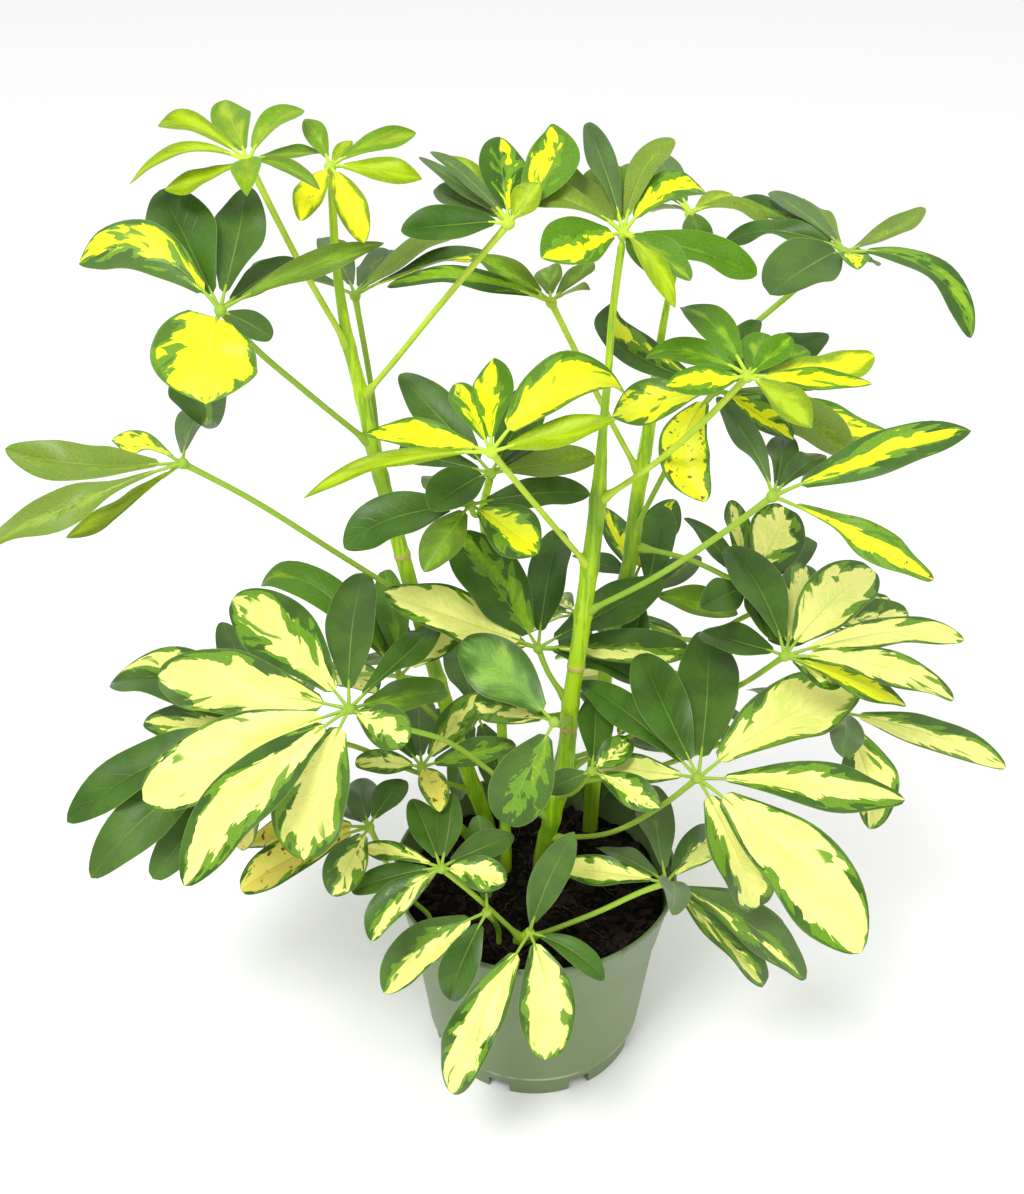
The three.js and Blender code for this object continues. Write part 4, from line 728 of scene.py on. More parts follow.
def tree_result(start, tree, names, values):
    """The plain mesh that a tree makes of a starting mesh, with values for its named inputs."""
    source = bpy.data.objects.new("Path", start)
    bpy.context.scene.collection.objects.link(source)
    modifier = source.modifiers.new("Tree", "NODES")
    modifier.node_group = tree
    for label, value in values.items():
        modifier[names[label]] = value
    bpy.context.view_layer.update()
    made = bpy.data.meshes.new_from_object(source.evaluated_get(bpy.context.evaluated_depsgraph_get()))
    bpy.data.objects.remove(source)
    return made


def skin_of(mesh):
    """Points and faces of a mesh."""
    points = np.empty(len(mesh.vertices) * 3)
    mesh.vertices.foreach_get("co", points)
    return points.reshape(-1, 3), [tuple(face.vertices) for face in mesh.polygons]


def stalks(paths, sides, material):
    """Round skins along paths, each a row of points and radii: their points, faces, and share along."""
    tree, names = stalk_tree()
    start = bpy.data.meshes.new("Paths")
    points, edges, thick, along = [], [], [], []
    for row, radii in paths:
        edges.extend((k, k + 1) for k in range(len(points), len(points) + len(row) - 1))
        points.extend(map(tuple, row))
        thick.extend(radii)
        lengths = lengths_along(np.array(row))
        along.extend(lengths / lengths[-1])
    start.from_pydata(points, edges, [])
    for label, values in (("thick", thick), ("along", along)):
        start.attributes.new(label, "FLOAT", "POINT").data.foreach_set("value", values)
    made = tree_result(start, tree, names, {"Sides": sides, "Radius scale": 1.0, "Finish": material})
    skin, faces = skin_of(made)
    share = np.empty(len(skin))
    made.attributes["along"].data.foreach_get("value", share)
    bpy.data.meshes.remove(made)
    bpy.data.node_groups.remove(tree)
    return skin, faces, share


# Materials

class Finish:
    """A material whose nodes are made by short calls; a plain number or colour is set on the socket."""

    def __init__(self, name):
        self.material = bpy.data.materials.new(name)
        self.material.use_nodes = True
        tree = self.material.node_tree
        self.nodes, self.links = tree.nodes, tree.links
        self.nodes.clear()
        self.shader, output = new_nodes(tree, "ShaderNodeBsdfPrincipled", "ShaderNodeOutputMaterial")
        wire(tree, (self.shader, 0, output, "Surface"))

    def feed(self, socket, value):
        if isinstance(value, bpy.types.NodeSocket):
            self.links.new(value, socket)
        elif isinstance(value, (int, float)):
            socket.default_value = value
        else:
            value = tuple(value)
            socket.default_value = value + (1,) * (len(socket.default_value) - len(value))

    def node(self, kind, values, **settings):
        """A new node with its settings, and with values for its inputs, by number or by name."""
        node = self.nodes.new(kind)
        for label, value in settings.items():
            setattr(node, label, value)
        for label, value in values.items():
            self.feed(node.inputs[label], value)
        return node

    def math(self, operation, *values):
        return self.node("ShaderNodeMath", dict(enumerate(values)), operation=operation).outputs[0]

    def times(self, first, second):
        return self.math("MULTIPLY", first, second)

    def less(self, first, second):
        return self.math("SUBTRACT", first, second)

    def scaled(self, value, by, plus):
        return self.math("MULTIPLY_ADD", value, by, plus)

    def size(self, value):
        return self.math("ABSOLUTE", value)

    def ramp(self, value, low, high, start=0.0, end=1.0):
        return self.node("ShaderNodeMapRange", dict(enumerate((value, low, high, start, end))),
                         interpolation_type="SMOOTHSTEP").outputs[0]

    def mix(self, share, first, second):
        return self.node("ShaderNodeMix", {0: share, 6: first, 7: second}, data_type="RGBA").outputs[2]

    def noise(self, where, scale, detail=2.0, roughness=0.5):
        return self.node("ShaderNodeTexNoise", {
            "Vector": where, "Scale": scale, "Detail": detail, "Roughness": roughness}).outputs[0]

    def cells(self, where, scale, output="Distance"):
        return self.node("ShaderNodeTexVoronoi", {"Vector": where, "Scale": scale}).outputs[output]

    def value(self, name):
        """The outputs that read one of the values which a form keeps at its points."""
        return self.node("ShaderNodeAttribute", {}, attribute_name=name).outputs

    def vector(self, name):
        return self.value(name)["Vector"]

    def split(self, vector):
        return self.node("ShaderNodeSeparateXYZ", {0: vector}).outputs

    def join(self, *values):
        return self.node("ShaderNodeCombineXYZ", dict(enumerate(values))).outputs[0]

    def stretched(self, spot, across, along):
        """Places on the piece with their own scale across and along the upright axis."""
        x, y, z = self.split(spot)
        return self.join(self.times(x, across), self.times(y, across), self.times(z, along))

    def spot(self):
        return self.nodes.new("ShaderNodeTexCoord").outputs["Object"]

    def bump(self, height, strength, distance):
        return self.node("ShaderNodeBump", {
            "Strength": strength, "Distance": distance, "Height": height}).outputs[0]

    def finish(self, **sockets):
        for label, value in sockets.items():
            self.feed(self.shader.inputs[label.replace("_", " ")], value)
        return self.material


# Colours, as linear values, that the finishes mix in
MIDDLE_GREEN = (0.18, 0.38, 0.014)
DEEP_GREEN = (0.12, 0.28, 0.02)
GRAIN = (0.02, 0.055, 0.01)
HEART_STAIN = (0.5, 0.74, 0.05)
SIDE_VEIN = (0.45, 0.62, 0.16)
MIDRIB = (0.4, 0.55, 0.12)
MARGIN = (0.5, 0.58, 0.2)
BROWN_SPOT = (0.2, 0.075, 0.02)
DUST = (0.6, 0.64, 0.5)
UNDERSIDE = (0.36, 0.46, 0.17)
STALK_SHADE = (0.26, 0.42, 0.03)
STALK_SPECK = (0.5, 0.52, 0.2)
STEM_LINE = (0.13, 0.35, 0.01)
STEM_SHADE = (0.08, 0.22, 0.01)
STEM_PORE = (0.5, 0.5, 0.24)
# Painted shade at the foot of a stem
STEM_FOOT_SHADE = (0.12, 0.13, 0.03)
POT_WORN_LINE = (0.42, 0.5, 0.3)
POT_DUST = (0.4, 0.42, 0.3)
# Painted shade, laid in patches towards the pot's rim
POT_RIM_SHADE = (0.035, 0.028, 0.02)


def blade_finish(name, shine):
    """Variegated blade: a pale heart in angular patches along the side veins, middle green, dark margin."""
    f = Finish(name)
    share_along, across, width = f.split(f.vector("place"))
    soft, age, under = f.split(f.vector("kind"))
    flat = f.vector("flat")
    _, _, seed = f.split(flat)
    body, heart = f.value("body"), f.value("heart")
    green, pale = body["Color"], heart["Color"]
    off = f.size(across)
    sided = f.scaled(f.math("SIGN", across), 7.3, seed)
    vein = f.less(share_along, f.times(off, 0.24))
    blots = f.noise(f.join(f.times(vein, 3.6), f.times(across, 1.2), seed), 1.0, 1.5)
    bent = f.noise(f.join(f.times(vein, 10.0), f.times(off, 3.0), sided), 1.0, 1.0)
    block = f.cells(f.join(f.scaled(vein, 10.0, bent), f.scaled(off, 2.2, bent), sided), 1.0, "Color")
    first, second, third = f.split(block)
    fine = f.noise(f.join(f.times(vein, 42.0), f.times(off, 6.0), sided), 1.0, 2.0, 0.6)
    edge = f.less(heart["Alpha"], f.size(f.less(across, body["Alpha"])))
    edge = f.scaled(f.less(blots, 0.5), 1.6, edge)
    edge = f.scaled(f.less(first, 0.5), 0.2, edge)
    edge = f.scaled(f.less(fine, 0.5), 0.14, edge)
    edge = f.less(edge, f.ramp(share_along, 0.84, 1.0, 0.0, 0.3))
    edge = f.less(edge, f.ramp(off, 0.86, 1.0, 0.0, 0.45))
    in_heart = f.ramp(edge, f.times(soft, -1.0), soft)
    sharp = f.ramp(soft, 0.05, 0.2, 1.0, 0.0)
    between = f.ramp(f.scaled(f.less(second, 0.5), 0.6, edge), -0.26, -0.22)
    flecks = f.times(f.ramp(third, 0.84, 0.86), f.ramp(edge, 0.22, 0.4, 1.0, 0.0))
    middle = f.mix(f.times(sharp, 0.85), green, MIDDLE_GREEN)
    tone = f.noise(flat, 0.05, 2.0)
    deep = f.mix(0.35, green, DEEP_GREEN)
    green = f.mix(f.ramp(tone, 0.38, 0.66, 0.0, 0.9), green, deep)
    green = f.mix(f.times(between, sharp), green, middle)
    grain = f.noise(flat, 1.1, 4.0, 0.75)
    green = f.mix(f.ramp(grain, 0.42, 0.66, 0.0, 0.34), green, GRAIN)
    inner = f.mix(f.ramp(f.math("ADD", blots, fine), 0.94, 1.22, 0.0, 0.32), pale, HEART_STAIN)
    colour = f.mix(in_heart, green, inner)
    colour = f.mix(f.times(f.times(flecks, in_heart), sharp), colour, middle)
    rows = f.math("FRACT", f.scaled(vein, 9.0, f.times(across, 0.37)))
    side_vein = f.ramp(f.size(f.less(rows, 0.5)), 0.0, 0.07, 1.0, 0.0)
    side_vein = f.times(side_vein, f.ramp(off, 0.4, 0.95, 1.0, 0.0))
    colour = f.mix(f.times(side_vein, 0.05), colour, SIDE_VEIN)
    rib = f.ramp(f.times(off, width), 0.12, 0.42, 1.0, 0.0)
    colour = f.mix(f.times(rib, f.ramp(share_along, 0.2, 0.9, 0.45, 0.08)), colour, MIDRIB)
    colour = f.mix(f.ramp(off, 0.96, 1.0, 0.0, 0.3), colour, MARGIN)
    spots = f.noise(flat, 0.22, 3.0, 0.65)
    brown = f.times(f.ramp(f.scaled(age, 0.12, spots), 0.7, 0.76), f.ramp(age, 0.0, 0.4))
    colour = f.mix(brown, colour, BROWN_SPOT)
    dust = f.ramp(f.noise(flat, 2.2, 2.0, 0.7), 0.62, 0.74, 0.0, 0.1)
    colour = f.mix(dust, colour, DUST)
    pale_side = f.mix(0.5, colour, UNDERSIDE)
    colour = f.mix(f.times(under, 0.75), colour, pale_side)
    gloss = f.scaled(under, 0.2, f.ramp(tone, 0.3, 0.7, 0.28, 0.42))
    height = f.scaled(side_vein, -0.35, f.times(tone, 0.8))
    height = f.scaled(grain, 0.5, height)
    return f.finish(Base_Color=colour, Roughness=gloss, Normal=f.bump(height, 0.3, 0.0006),
                    Specular_IOR_Level=shine)


def stalk_finish(name):
    """Petioles and knobs: fresh green, paler and yellower to the hub, with shades and pale specks."""
    f = Finish(name)
    share_along, _, _ = f.split(f.vector("place"))
    spot = f.spot()
    colour = f.mix(share_along, f.value("body")["Color"], f.value("heart")["Color"])
    tone = f.noise(spot, 90.0, 2.0)
    colour = f.mix(f.ramp(tone, 0.35, 0.7, 0.0, 0.35), colour, STALK_SHADE)
    specks = f.ramp(f.noise(spot, 900.0, 2.0), 0.64, 0.72, 0.0, 0.35)
    colour = f.mix(specks, colour, STALK_SPECK)
    return f.finish(Base_Color=colour, Roughness=f.ramp(tone, 0.3, 0.7, 0.38, 0.55),
                    Normal=f.bump(f.noise(spot, 420.0, 2.0), 0.2, 0.0004), Specular_IOR_Level=0.3)


def stem_finish(settings):
    """Stems: green with darker lengthwise streaks, corky rings at the scars of old leaves, and painted shade
    near the soil.
    """
    f = Finish("Stem skin")
    share_along, scar, _ = f.split(f.vector("place"))
    spot = f.spot()
    lines = f.noise(f.stretched(spot, 330.0, 24.0), 1.0, 3.0, 0.6)
    tone = f.noise(spot, 26.0, 2.0)
    colour = f.mix(share_along, settings.low, settings.high)
    colour = f.mix(f.ramp(lines, 0.46, 0.6, 0.0, 0.6), colour, STEM_LINE)
    colour = f.mix(f.ramp(tone, 0.5, 0.66, 0.0, 0.6), colour, STEM_SHADE)
    pores = f.ramp(f.cells(spot, 380.0), 0.08, 0.18, 0.45, 0.0)
    colour = f.mix(pores, colour, STEM_PORE)
    cork = f.ramp(f.scaled(f.less(f.noise(spot, 400.0, 3.0), 0.5), 0.9, scar), 0.4, 0.7)
    colour = f.mix(cork, colour, settings.scar)
    # Painted shade: the stem turns a dark, browner green near the soil
    foot = f.ramp(share_along, 0.08, 0.2, 0.6, 0.0)
    colour = f.mix(foot, colour, STEM_FOOT_SHADE)
    height = f.scaled(lines, 0.7, f.times(cork, 1.2))
    return f.finish(Base_Color=colour, Roughness=f.ramp(cork, 0.0, 1.0, 0.4, 0.8),
                    Normal=f.bump(height, 0.4, 0.0008), Specular_IOR_Level=0.35)


def pot_finish(settings):
    """Green moulded plastic: satin, a little cloudy, with scuffs, a worn line above the foot, dust, and
    patches of painted shade towards the rim.
    """
    f = Finish("Pot plastic")
    spot = f.spot()
    _, _, z = f.split(spot)
    cloud = f.noise(spot, 14.0, 3.0)
    colour = f.mix(f.ramp(cloud, 0.35, 0.7, 0.0, 0.3), settings.green, settings.pale)
    scratch = f.noise(f.stretched(spot, 60.0, 900.0), 1.0, 3.0, 0.7)
    colour = f.mix(f.ramp(scratch, 0.68, 0.74, 0.0, 0.4), colour, settings.pale)
    line = f.ramp(f.size(f.less(z, 0.0155)), 0.0003, 0.0012, 1.0, 0.0)
    line = f.times(line, f.ramp(f.noise(spot, 50.0, 3.0), 0.42, 0.6))
    colour = f.mix(f.times(line, 0.8), colour, POT_WORN_LINE)
    dust = f.ramp(f.noise(spot, 700.0, 3.0, 0.7), 0.64, 0.75, 0.0, 0.25)
    colour = f.mix(dust, colour, POT_DUST)
    # Painted shade: near-black patches towards the rim
    rim_shade = f.times(f.ramp(z, 0.1, 0.116), f.ramp(f.noise(spot, 110.0, 4.0), 0.56, 0.68, 0.0, 0.5))
    colour = f.mix(rim_shade, colour, POT_RIM_SHADE)
    height = f.scaled(scratch, 0.3, f.noise(spot, 1400.0, 2.0))
    return f.finish(Base_Color=colour, Roughness=f.ramp(cloud, 0.3, 0.7, 0.36, 0.5),
                    Normal=f.bump(height, 0.12, 0.0004))


def soil_finish(settings):
    f = Finish("Potting soil")
    spot = f.spot()
    grain = f.noise(spot, 260.0, 5.0, 0.7)
    colour = f.mix(f.ramp(grain, 0.35, 0.75), tuple(c * 0.35 for c in settings.dark), settings.dark)
    chips = f.ramp(f.noise(spot, 520.0, 2.0), 0.64, 0.7, 0.0, 0.8)
    colour = f.mix(chips, colour, settings.bark)
    return f.finish(Base_Color=colour, Roughness=f.ramp(grain, 0.3, 0.7, 0.7, 0.95),
                    Normal=f.bump(grain, 0.9, 0.003), Specular_IOR_Level=0.15)


def root_finish(settings):
    f = Finish("Roots")
    grain = f.noise(f.spot(), 260.0, 3.0)
    colour = f.mix(grain, tuple(c * 0.4 for c in settings.root), settings.root)
    return f.finish(Base_Color=colour, Roughness=0.7)


def bark_finish(settings):
    f = Finish("Bark")
    spot = f.spot()
    grain = f.noise(spot, 300.0, 4.0, 0.65)
    dark, bright = (tuple(min(1, c * share) for c in settings.bark) for share in (0.3, 1.6))
    colour = f.mix(grain, dark, bright)
    colour = f.mix(f.ramp(f.noise(spot, 45.0, 1.0), 0.5, 0.62, 0.0, 0.8), colour, settings.dark)
    return f.finish(Base_Color=colour, Roughness=0.8, Normal=f.bump(grain, 0.6, 0.0015),
                    Specular_IOR_Level=0.2)


# Pieces

def object_of(bm, name):
    """A linked object with what a bmesh holds, which is freed."""
    mesh = bpy.data.meshes.new(name)
    bm.to_mesh(mesh)
    bm.free()
    made = bpy.data.objects.new(name, mesh)
    bpy.context.scene.collection.objects.link(made)
    return made


def ride_and_replace(piece, slot, *nodes):
    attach(piece, "root")
    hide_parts(*nodes)


POT_SIDES = 160
DRAINS = 8
DRAIN_TURN = 0.07
DRAIN_AT = 57.5 * MM
DRAIN_BOX = (21 * MM, 12 * MM, 16 * MM, 1)
USUAL_RIM = 76
USUAL_HIGH = 116
# Radius and height along the outside of the usual pot, and of the lower part of its inside, in millimetres
POT_OUTSIDE = (
    (0, 1.6), (50, 1.6), (52.5, 0.6), (53.5, 0), (56.2, 0), (56.9, 0.3), (57.1, 1), (57.9, 11.4),
    (58.6, 12.4), (59.6, 13), (59.9, 14), (67.5, 80.6), (67.8, 81.8), (68.6, 82.6), (69.1, 83.4),
    (69.3, 84.5), (74.6, 112.3), (74.9, 112.9), (75.7, 113.2), (76, 113.8), (76, 115.2), (75.8, 115.75),
    (75.2, 116), (74.6, 115.9), (74.1, 115.4))
POT_INSIDE = ((67.2, 83), (57.7, 13.4), (55, 4.2), (53, 3.4), (0, 3.4))


class PLANT_OT_pot(bpy.types.Operator):
    """Make the pot: a turned wall with a wide band under its rim, and drain notches in its foot"""
    bl_idname = "plant.pot"
    bl_label = "Pot"

    def execute(self, context):
        s = context.scene.plant_pot
        rim, high, wall = s.rim_radius, s.high, s.wall
        profile = [(radius * rim / USUAL_RIM, height * high / USUAL_HIGH) for radius, height in POT_OUTSIDE]
        profile += [(rim - wall - 0.2 * MM, high - 3 * MM), (rim - wall - 1.2 * MM, high - 6 * MM)]
        profile += [(radius * MM, height * MM) for radius, height in POT_INSIDE]
        form = Form()
        form.add(*turned(profile, POT_SIDES), 0)
        pot = form.piece("Pot", [pot_finish(s)])
        cutter = bmesh.new()
        for drain in range(DRAINS):
            turn = Matrix.Rotation((drain + 0.5) / DRAINS * TURN - math.pi / 2 + DRAIN_TURN, 4, "Z")
            box = Matrix.Translation((DRAIN_AT, 0, 0)) @ Matrix.Diagonal(DRAIN_BOX)
            bmesh.ops.create_cube(cutter, size=1, matrix=turn @ box)
        notches = object_of(cutter, "Drain notches")
        cut = pot.modifiers.new("Drains", "BOOLEAN")
        cut.operation, cut.solver, cut.object = "DIFFERENCE", "EXACT", notches
        context.view_layer.update()
        made = bpy.data.meshes.new_from_object(pot.evaluated_get(context.evaluated_depsgraph_get()))
        pot.modifiers.clear()
        pot.data = made
        bpy.data.objects.remove(notches)
        made.shade_smooth()
        made.set_sharp_from_angle(angle=math.radians(35))
        ride_and_replace(pot, "pot_plastic", "pot")
        return {"FINISHED"}


SOIL_SIDES, SOIL_RINGS = 120, 40
SOIL_BRIM = 69 * MM
# Radius and height of the soil's rings below its brim, in millimetres
SOIL_BELOW = ((64.6, 78), (56, 14), (51, 4.2))
LITTER_SIDES, LITTER_RINGS = 40, 12
LITTER_REACH = 66.5 * MM
# Crumbs and bark chips: how thickly they lie, their seed, a chip's size in millimetres, and its scales
LITTER = ((120, 3, (2.2, 1.8, 1.5), 0.4, 1.2), (26, 9, (6.5, 3.6, 1.8), 0.5, 1.5))
# Roots on the soil: how many, from how far out, how far they may reach, their steps, and how high they arch
ROOTS, ROOTS_FROM, ROOTS_REACH = 46, 60 * MM, 66 * MM
ROOT_STEPS, ROOT_STEP, ROOT_LIFT = 14, 2 * MM, 0.8 * MM


def lumps(x, y, top):
    """Height of the soil's top: the plain soil's low lumps, with finer ones on them."""
    x, y = x / MM, y / MM
    low = math.sin(x * 0.21 + 1.1) * math.cos(y * 0.17) + 0.6 * math.sin(x * 0.13 - y * 0.29 + 2.3)
    fine = math.sin(x * 0.83 + 0.4 * y) * math.sin(y * 0.71 - 0.5 * x + 1.0)
    grit = math.sin(x * 2.1 + 3.0 * math.sin(y * 0.9)) * math.cos(y * 2.3 + 2.0 * math.sin(x * 1.1))
    return top + MM * (1.6 * low + 0.7 * fine + 0.45 * grit - (math.hypot(x, y) / 76) ** 4 * 3)


def litter_tree():
    """A tree that scatters chips on the faces that look up, joins them to real mesh, and paints them."""
    tree, names = new_tree("Soil litter", {
        "Density": ("Float", 1e5), "Seed": ("Int", 4), "Smallest": ("Float", 0.4), "Largest": ("Float", 1.6),
        "Chip": ("Object", None), "Finish": ("Material", None)})
    given, scatter, chip, put, turn, size = new_nodes(
        tree, "NodeGroupInput", "GeometryNodeDistributePointsOnFaces", "GeometryNodeObjectInfo",
        "GeometryNodeInstanceOnPoints", "FunctionNodeRandomValue", "FunctionNodeRandomValue")
    turn.data_type, size.data_type = "FLOAT_VECTOR", "FLOAT"
    turn.inputs[0].default_value, turn.inputs[1].default_value = (-0.5, -0.5, 0), (0.5, 0.5, TURN)
    wire(tree, (given, "Geometry", scatter, "Mesh"), (given, "Density", scatter, "Density"),
         (given, "Seed", scatter, "Seed"), (given, "Chip", chip, "Object"),
         (scatter, "Points", put, "Points"), (chip, "Geometry", put, "Instance"), (turn, 0, put, "Rotation"),
         (given, "Smallest", size, 2), (given, "Largest", size, 3), (size, 1, put, "Scale"))
    end_tree(tree, given, put, "Instances")
    return tree, names


def chip_object(dice, size):
    """One rough chip: a box with every corner moved."""
    bm = bmesh.new()
    bmesh.ops.create_cube(bm, size=1, matrix=Matrix.Diagonal((*(side * MM for side in size), 1)))
    for vert in bm.verts:
        vert.co = Vector(c * (0.55 + 0.7 * dice.random()) for c in vert.co)
    return object_of(bm, "Chip")


def lumpy_disc(reach, rings, sides, top):
    """Points of the soil's top: its middle, then rings of equally many points."""
    points = [(0, 0, lumps(0, 0, top))]
    for ring in range(1, rings + 1):
        points += [(x, y, lumps(x, y, top)) for x, y, _ in ring_of(reach * ring / rings, 0, sides)]
    return points


def root_paths(dice, top):
    """Points and radii of thin roots that wander over the soil."""
    paths = []
    for _ in range(ROOTS):
        turn, reach = dice.random() * TURN, ROOTS_FROM * math.sqrt(dice.random())
        x, y = reach * math.cos(turn), reach * math.sin(turn)
        way, row = dice.random() * TURN, []
        for step in range(ROOT_STEPS):
            lift = ROOT_LIFT * math.sin(step / (ROOT_STEPS - 1) * math.pi) * (0.4 + dice.random())
            row.append((x, y, lumps(x, y, top) + lift))
            way += (dice.random() - 0.5) * 0.9
            x, y = x + ROOT_STEP * math.cos(way), y + ROOT_STEP * math.sin(way)
            if math.hypot(x, y) > ROOTS_REACH:
                break
        if len(row) > 3:
            thick = (0.18 + 0.35 * dice.random() ** 2) * MM
            paths.append((row, [thick * (1 - 0.6 * k / len(row)) for k in range(len(row))]))
    return paths


class PLANT_OT_soil(bpy.types.Operator):
    """Make the soil that fills the pot, with its crumbs, bark chips and thin roots"""
    bl_idname = "plant.soil"
    bl_label = "Soil"

    def execute(self, context):
        s = context.scene.plant_soil
        points = lumpy_disc(SOIL_BRIM, SOIL_RINGS, SOIL_SIDES, s.top)
        for radius, height in SOIL_BELOW:
            points += ring_of(radius * MM, height * MM, SOIL_SIDES)
        points.append((0, 0, SOIL_BELOW[-1][1] * MM))
        form = Form()
        form.add(points, wheel_faces(SOIL_RINGS + len(SOIL_BELOW), SOIL_SIDES), 0)
        soil = form.piece("Soil", [soil_finish(s)], sharp=180)
        ride_and_replace(soil, "potting_soil", "soil")
        litter = self.litter(s)
        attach(litter, "root")
        return {"FINISHED"}

    def litter(self, s):
        """Crumbs, bark chips and roots as one piece on the soil's top."""
        dice = np.random.default_rng(5)
        sides = LITTER_SIDES
        faces = [(0, 1 + k, 1 + (k + 1) % sides) for k in range(sides)]
        for low in range(1, 1 + (LITTER_RINGS - 1) * sides, sides):
            faces += [(low + k, low + sides + k, low + sides + (k + 1) % sides, low + (k + 1) % sides)
                      for k in range(sides)]
        top = bpy.data.meshes.new("Soil top")
        top.from_pydata(lumpy_disc(LITTER_REACH, LITTER_RINGS, sides, s.top), [], faces)
        finish = bark_finish(s)
        form = Form()
        tree, names = litter_tree()
        for share, seed, size, small, large in LITTER:
            chip = chip_object(dice, size)
            made = tree_result(top.copy(), tree, names, {
                "Density": float(s.bits * share), "Seed": seed, "Smallest": small, "Largest": large,
                "Chip": chip, "Finish": finish})
            bpy.data.objects.remove(chip)
            form.add(*skin_of(made), 0)
        bpy.data.node_groups.remove(tree)
        points, faces, _ = stalks(root_paths(dice, s.top), 5, finish)
        form.add(points, faces, 1)
        return form.piece("Soil_litter", [finish, root_finish(s)], sharp=40)


STEM_STEP = 1.8 * MM
STEM_SIDES = 20
# How far along a stem the swelling under a leaf and a scar reach, and how much they add to its radius
SWELLING_REACH, SWELLING = 4 * MM, 0.13
SCAR_REACH, SCAR = 1.6 * MM, 0.12
SCARS_APART = 70 * MM
# The sample of a stem's middle line below which no scar lies
LOWEST_SCAR = 50
# A petiole whose foot is this near to a stem grows out of it, with a sheath
SHEATH_REACH = 9 * MM
# Where the photograph shows old scars on a stem, by column and row
OLD_SCARS = {"stem_left": ((404, 555),), "stem_main": ((571, 665), (563, 727))}


def bump_at(rows, place, reach):
    return np.exp(-((rows - place) / reach) ** 2)


class PLANT_OT_stems(bpy.types.Operator):
    """Make the stems, with a swelling where a leaf stands, and corky scars where older leaves stood"""
    bl_idname = "plant.stems"
    bl_label = "Stems"

    def execute(self, context):
        finish = stem_finish(context.scene.plant_stems)
        petioles = [read_leaf(name)[3] for name in LEAVES if not isinstance(LEAVES[name][0], str)]
        feet = [nearest_stem(petiole[0]) for petiole in petioles if petiole is not None]
        for order, name in enumerate(STEMS):
            dice = np.random.default_rng(40 + order)
            fine, middle, radii = stem_line(name)
            long = fine[-1]
            rows = np.linspace(0, long, max(8, int(long / STEM_STEP)))
            line = np.stack([np.interp(rows, fine, middle[:, k]) for k in range(3)], 1)
            swollen, scarred = np.zeros(len(rows)), np.zeros(len(rows))
            for gap, stem, height, _, _ in feet:
                if stem == name and gap < SHEATH_REACH:
                    swollen = np.maximum(swollen, bump_at(rows, height, SWELLING_REACH))
            lowest = fine[LOWEST_SCAR]
            marks = [(lowest + (long - lowest) * dice.random(), 0.3 + 0.2 * dice.random())
                     for _ in range(max(1, int(long / SCARS_APART)))]
            seen = [photo_place(point) for point in middle]
            for column, row in OLD_SCARS.get(name, ()):
                away = [math.hypot(column - x, row - y) for x, y in seen]
                marks.append((fine[int(np.argmin(away))], 1.0))
            for height, strength in marks:
                scarred = np.maximum(scarred, bump_at(rows, height, SCAR_REACH) * strength)
            thick = np.interp(rows, fine, radii) * (1 + SWELLING * swollen + SCAR * scarred)
            thick[-1] *= 0.75
            points, faces, share = stalks([(line, thick)], STEM_SIDES, finish)
            place = np.stack([share, np.interp(share * rows[-1], rows, scarred), np.zeros(len(share))], 1)
            form = Form()
            form.add(points, faces, 0, place=place)
            ride_and_replace(form.piece(name.capitalize(), [finish], sharp=60), "stem_green", name)
        return {"FINISHED"}


def look_of(name, tip, number):
    """The look of the entry whose tip is nearest in the photograph, or one of those for unseen leaves."""
    entries = LEAVES[name][1]
    if entries:
        x, y = photo_place(tip)
        _, _, *own = min(entries, key=lambda entry: math.hypot(entry[0] - x, entry[1] - y))
    else:
        own = [UNSEEN_LOOKS[number % len(UNSEEN_LOOKS)]]
    kind, share, shift = (*own, *("dark", None, 0.0)[len(own):])
    body, heart, usual, age, soft = LOOKS[kind]
    return Look(body, heart, age, usual if share is None else share, shift, kind in POINTED_LOOKS, soft)


# A petiole's radius, the step along it, what it gains at the hub, and how far its sheath reaches
PETIOLE, PETIOLE_STEP, PETIOLE_END, SHEATH = 1.4 * MM, 2.5 * MM, 0.4 * MM, 5 * MM
PETIOLE_SIDES = 8
# Radius of a leaflet's stalk at the hub, and what share of it is left where it meets the blade
STALK, STALK_ENDS = 1.0 * MM, 0.62
HEART_BRIGHTER = 1.12


def petiole_path(petiole):
    """Middle line and radii of a petiole, from inside its stem, where it has a sheath, to the hub."""
    gap, _, _, centre, radius = nearest_stem(petiole[0])
    row, inside = petiole, 0.0
    if gap < SHEATH_REACH:
        clear = [point for point in petiole if np.linalg.norm(point - petiole[0]) > SHEATH]
        row, inside = np.array([centre - np.array([0, 0, MM]), *clear]), radius
    at = lengths_along(row)
    fine = np.linspace(0, at[-1], max(12, int(at[-1] / PETIOLE_STEP)))
    sheath = PETIOLE * np.exp(-(np.clip(fine - inside, 0, None) / SHEATH) ** 2)
    return smooth_through(at, row, fine), PETIOLE + sheath + PETIOLE_END * np.exp(-(at[-1] - fine) / SHEATH)


def tip_path(stem, hub):
    """Middle line and radii of the end of a stem that carries a leaf on its tip, and the stem's heading."""
    _, line, radii = stem_line(stem)
    heading = unit(line[-1] - line[-8])
    row = np.array([line[-1] - heading * 4 * MM, line[-1] + heading * MM, hub])
    return row, np.array([radii[-1] * 0.7, radii[-1] * 0.62, 2.2 * MM]), heading


def open_heading(points, hub, leaflets):
    """Heading of a knob with no petiole to read: up and towards the camera, off its leaflets."""
    towards = unit(np.array([0, 0, 1.0]) + 0.5 * unit(CAMERA_AT - hub))
    return unit(sum(unit(points[tip] - hub) for tip, _ in leaflets) * -0.2 + towards)


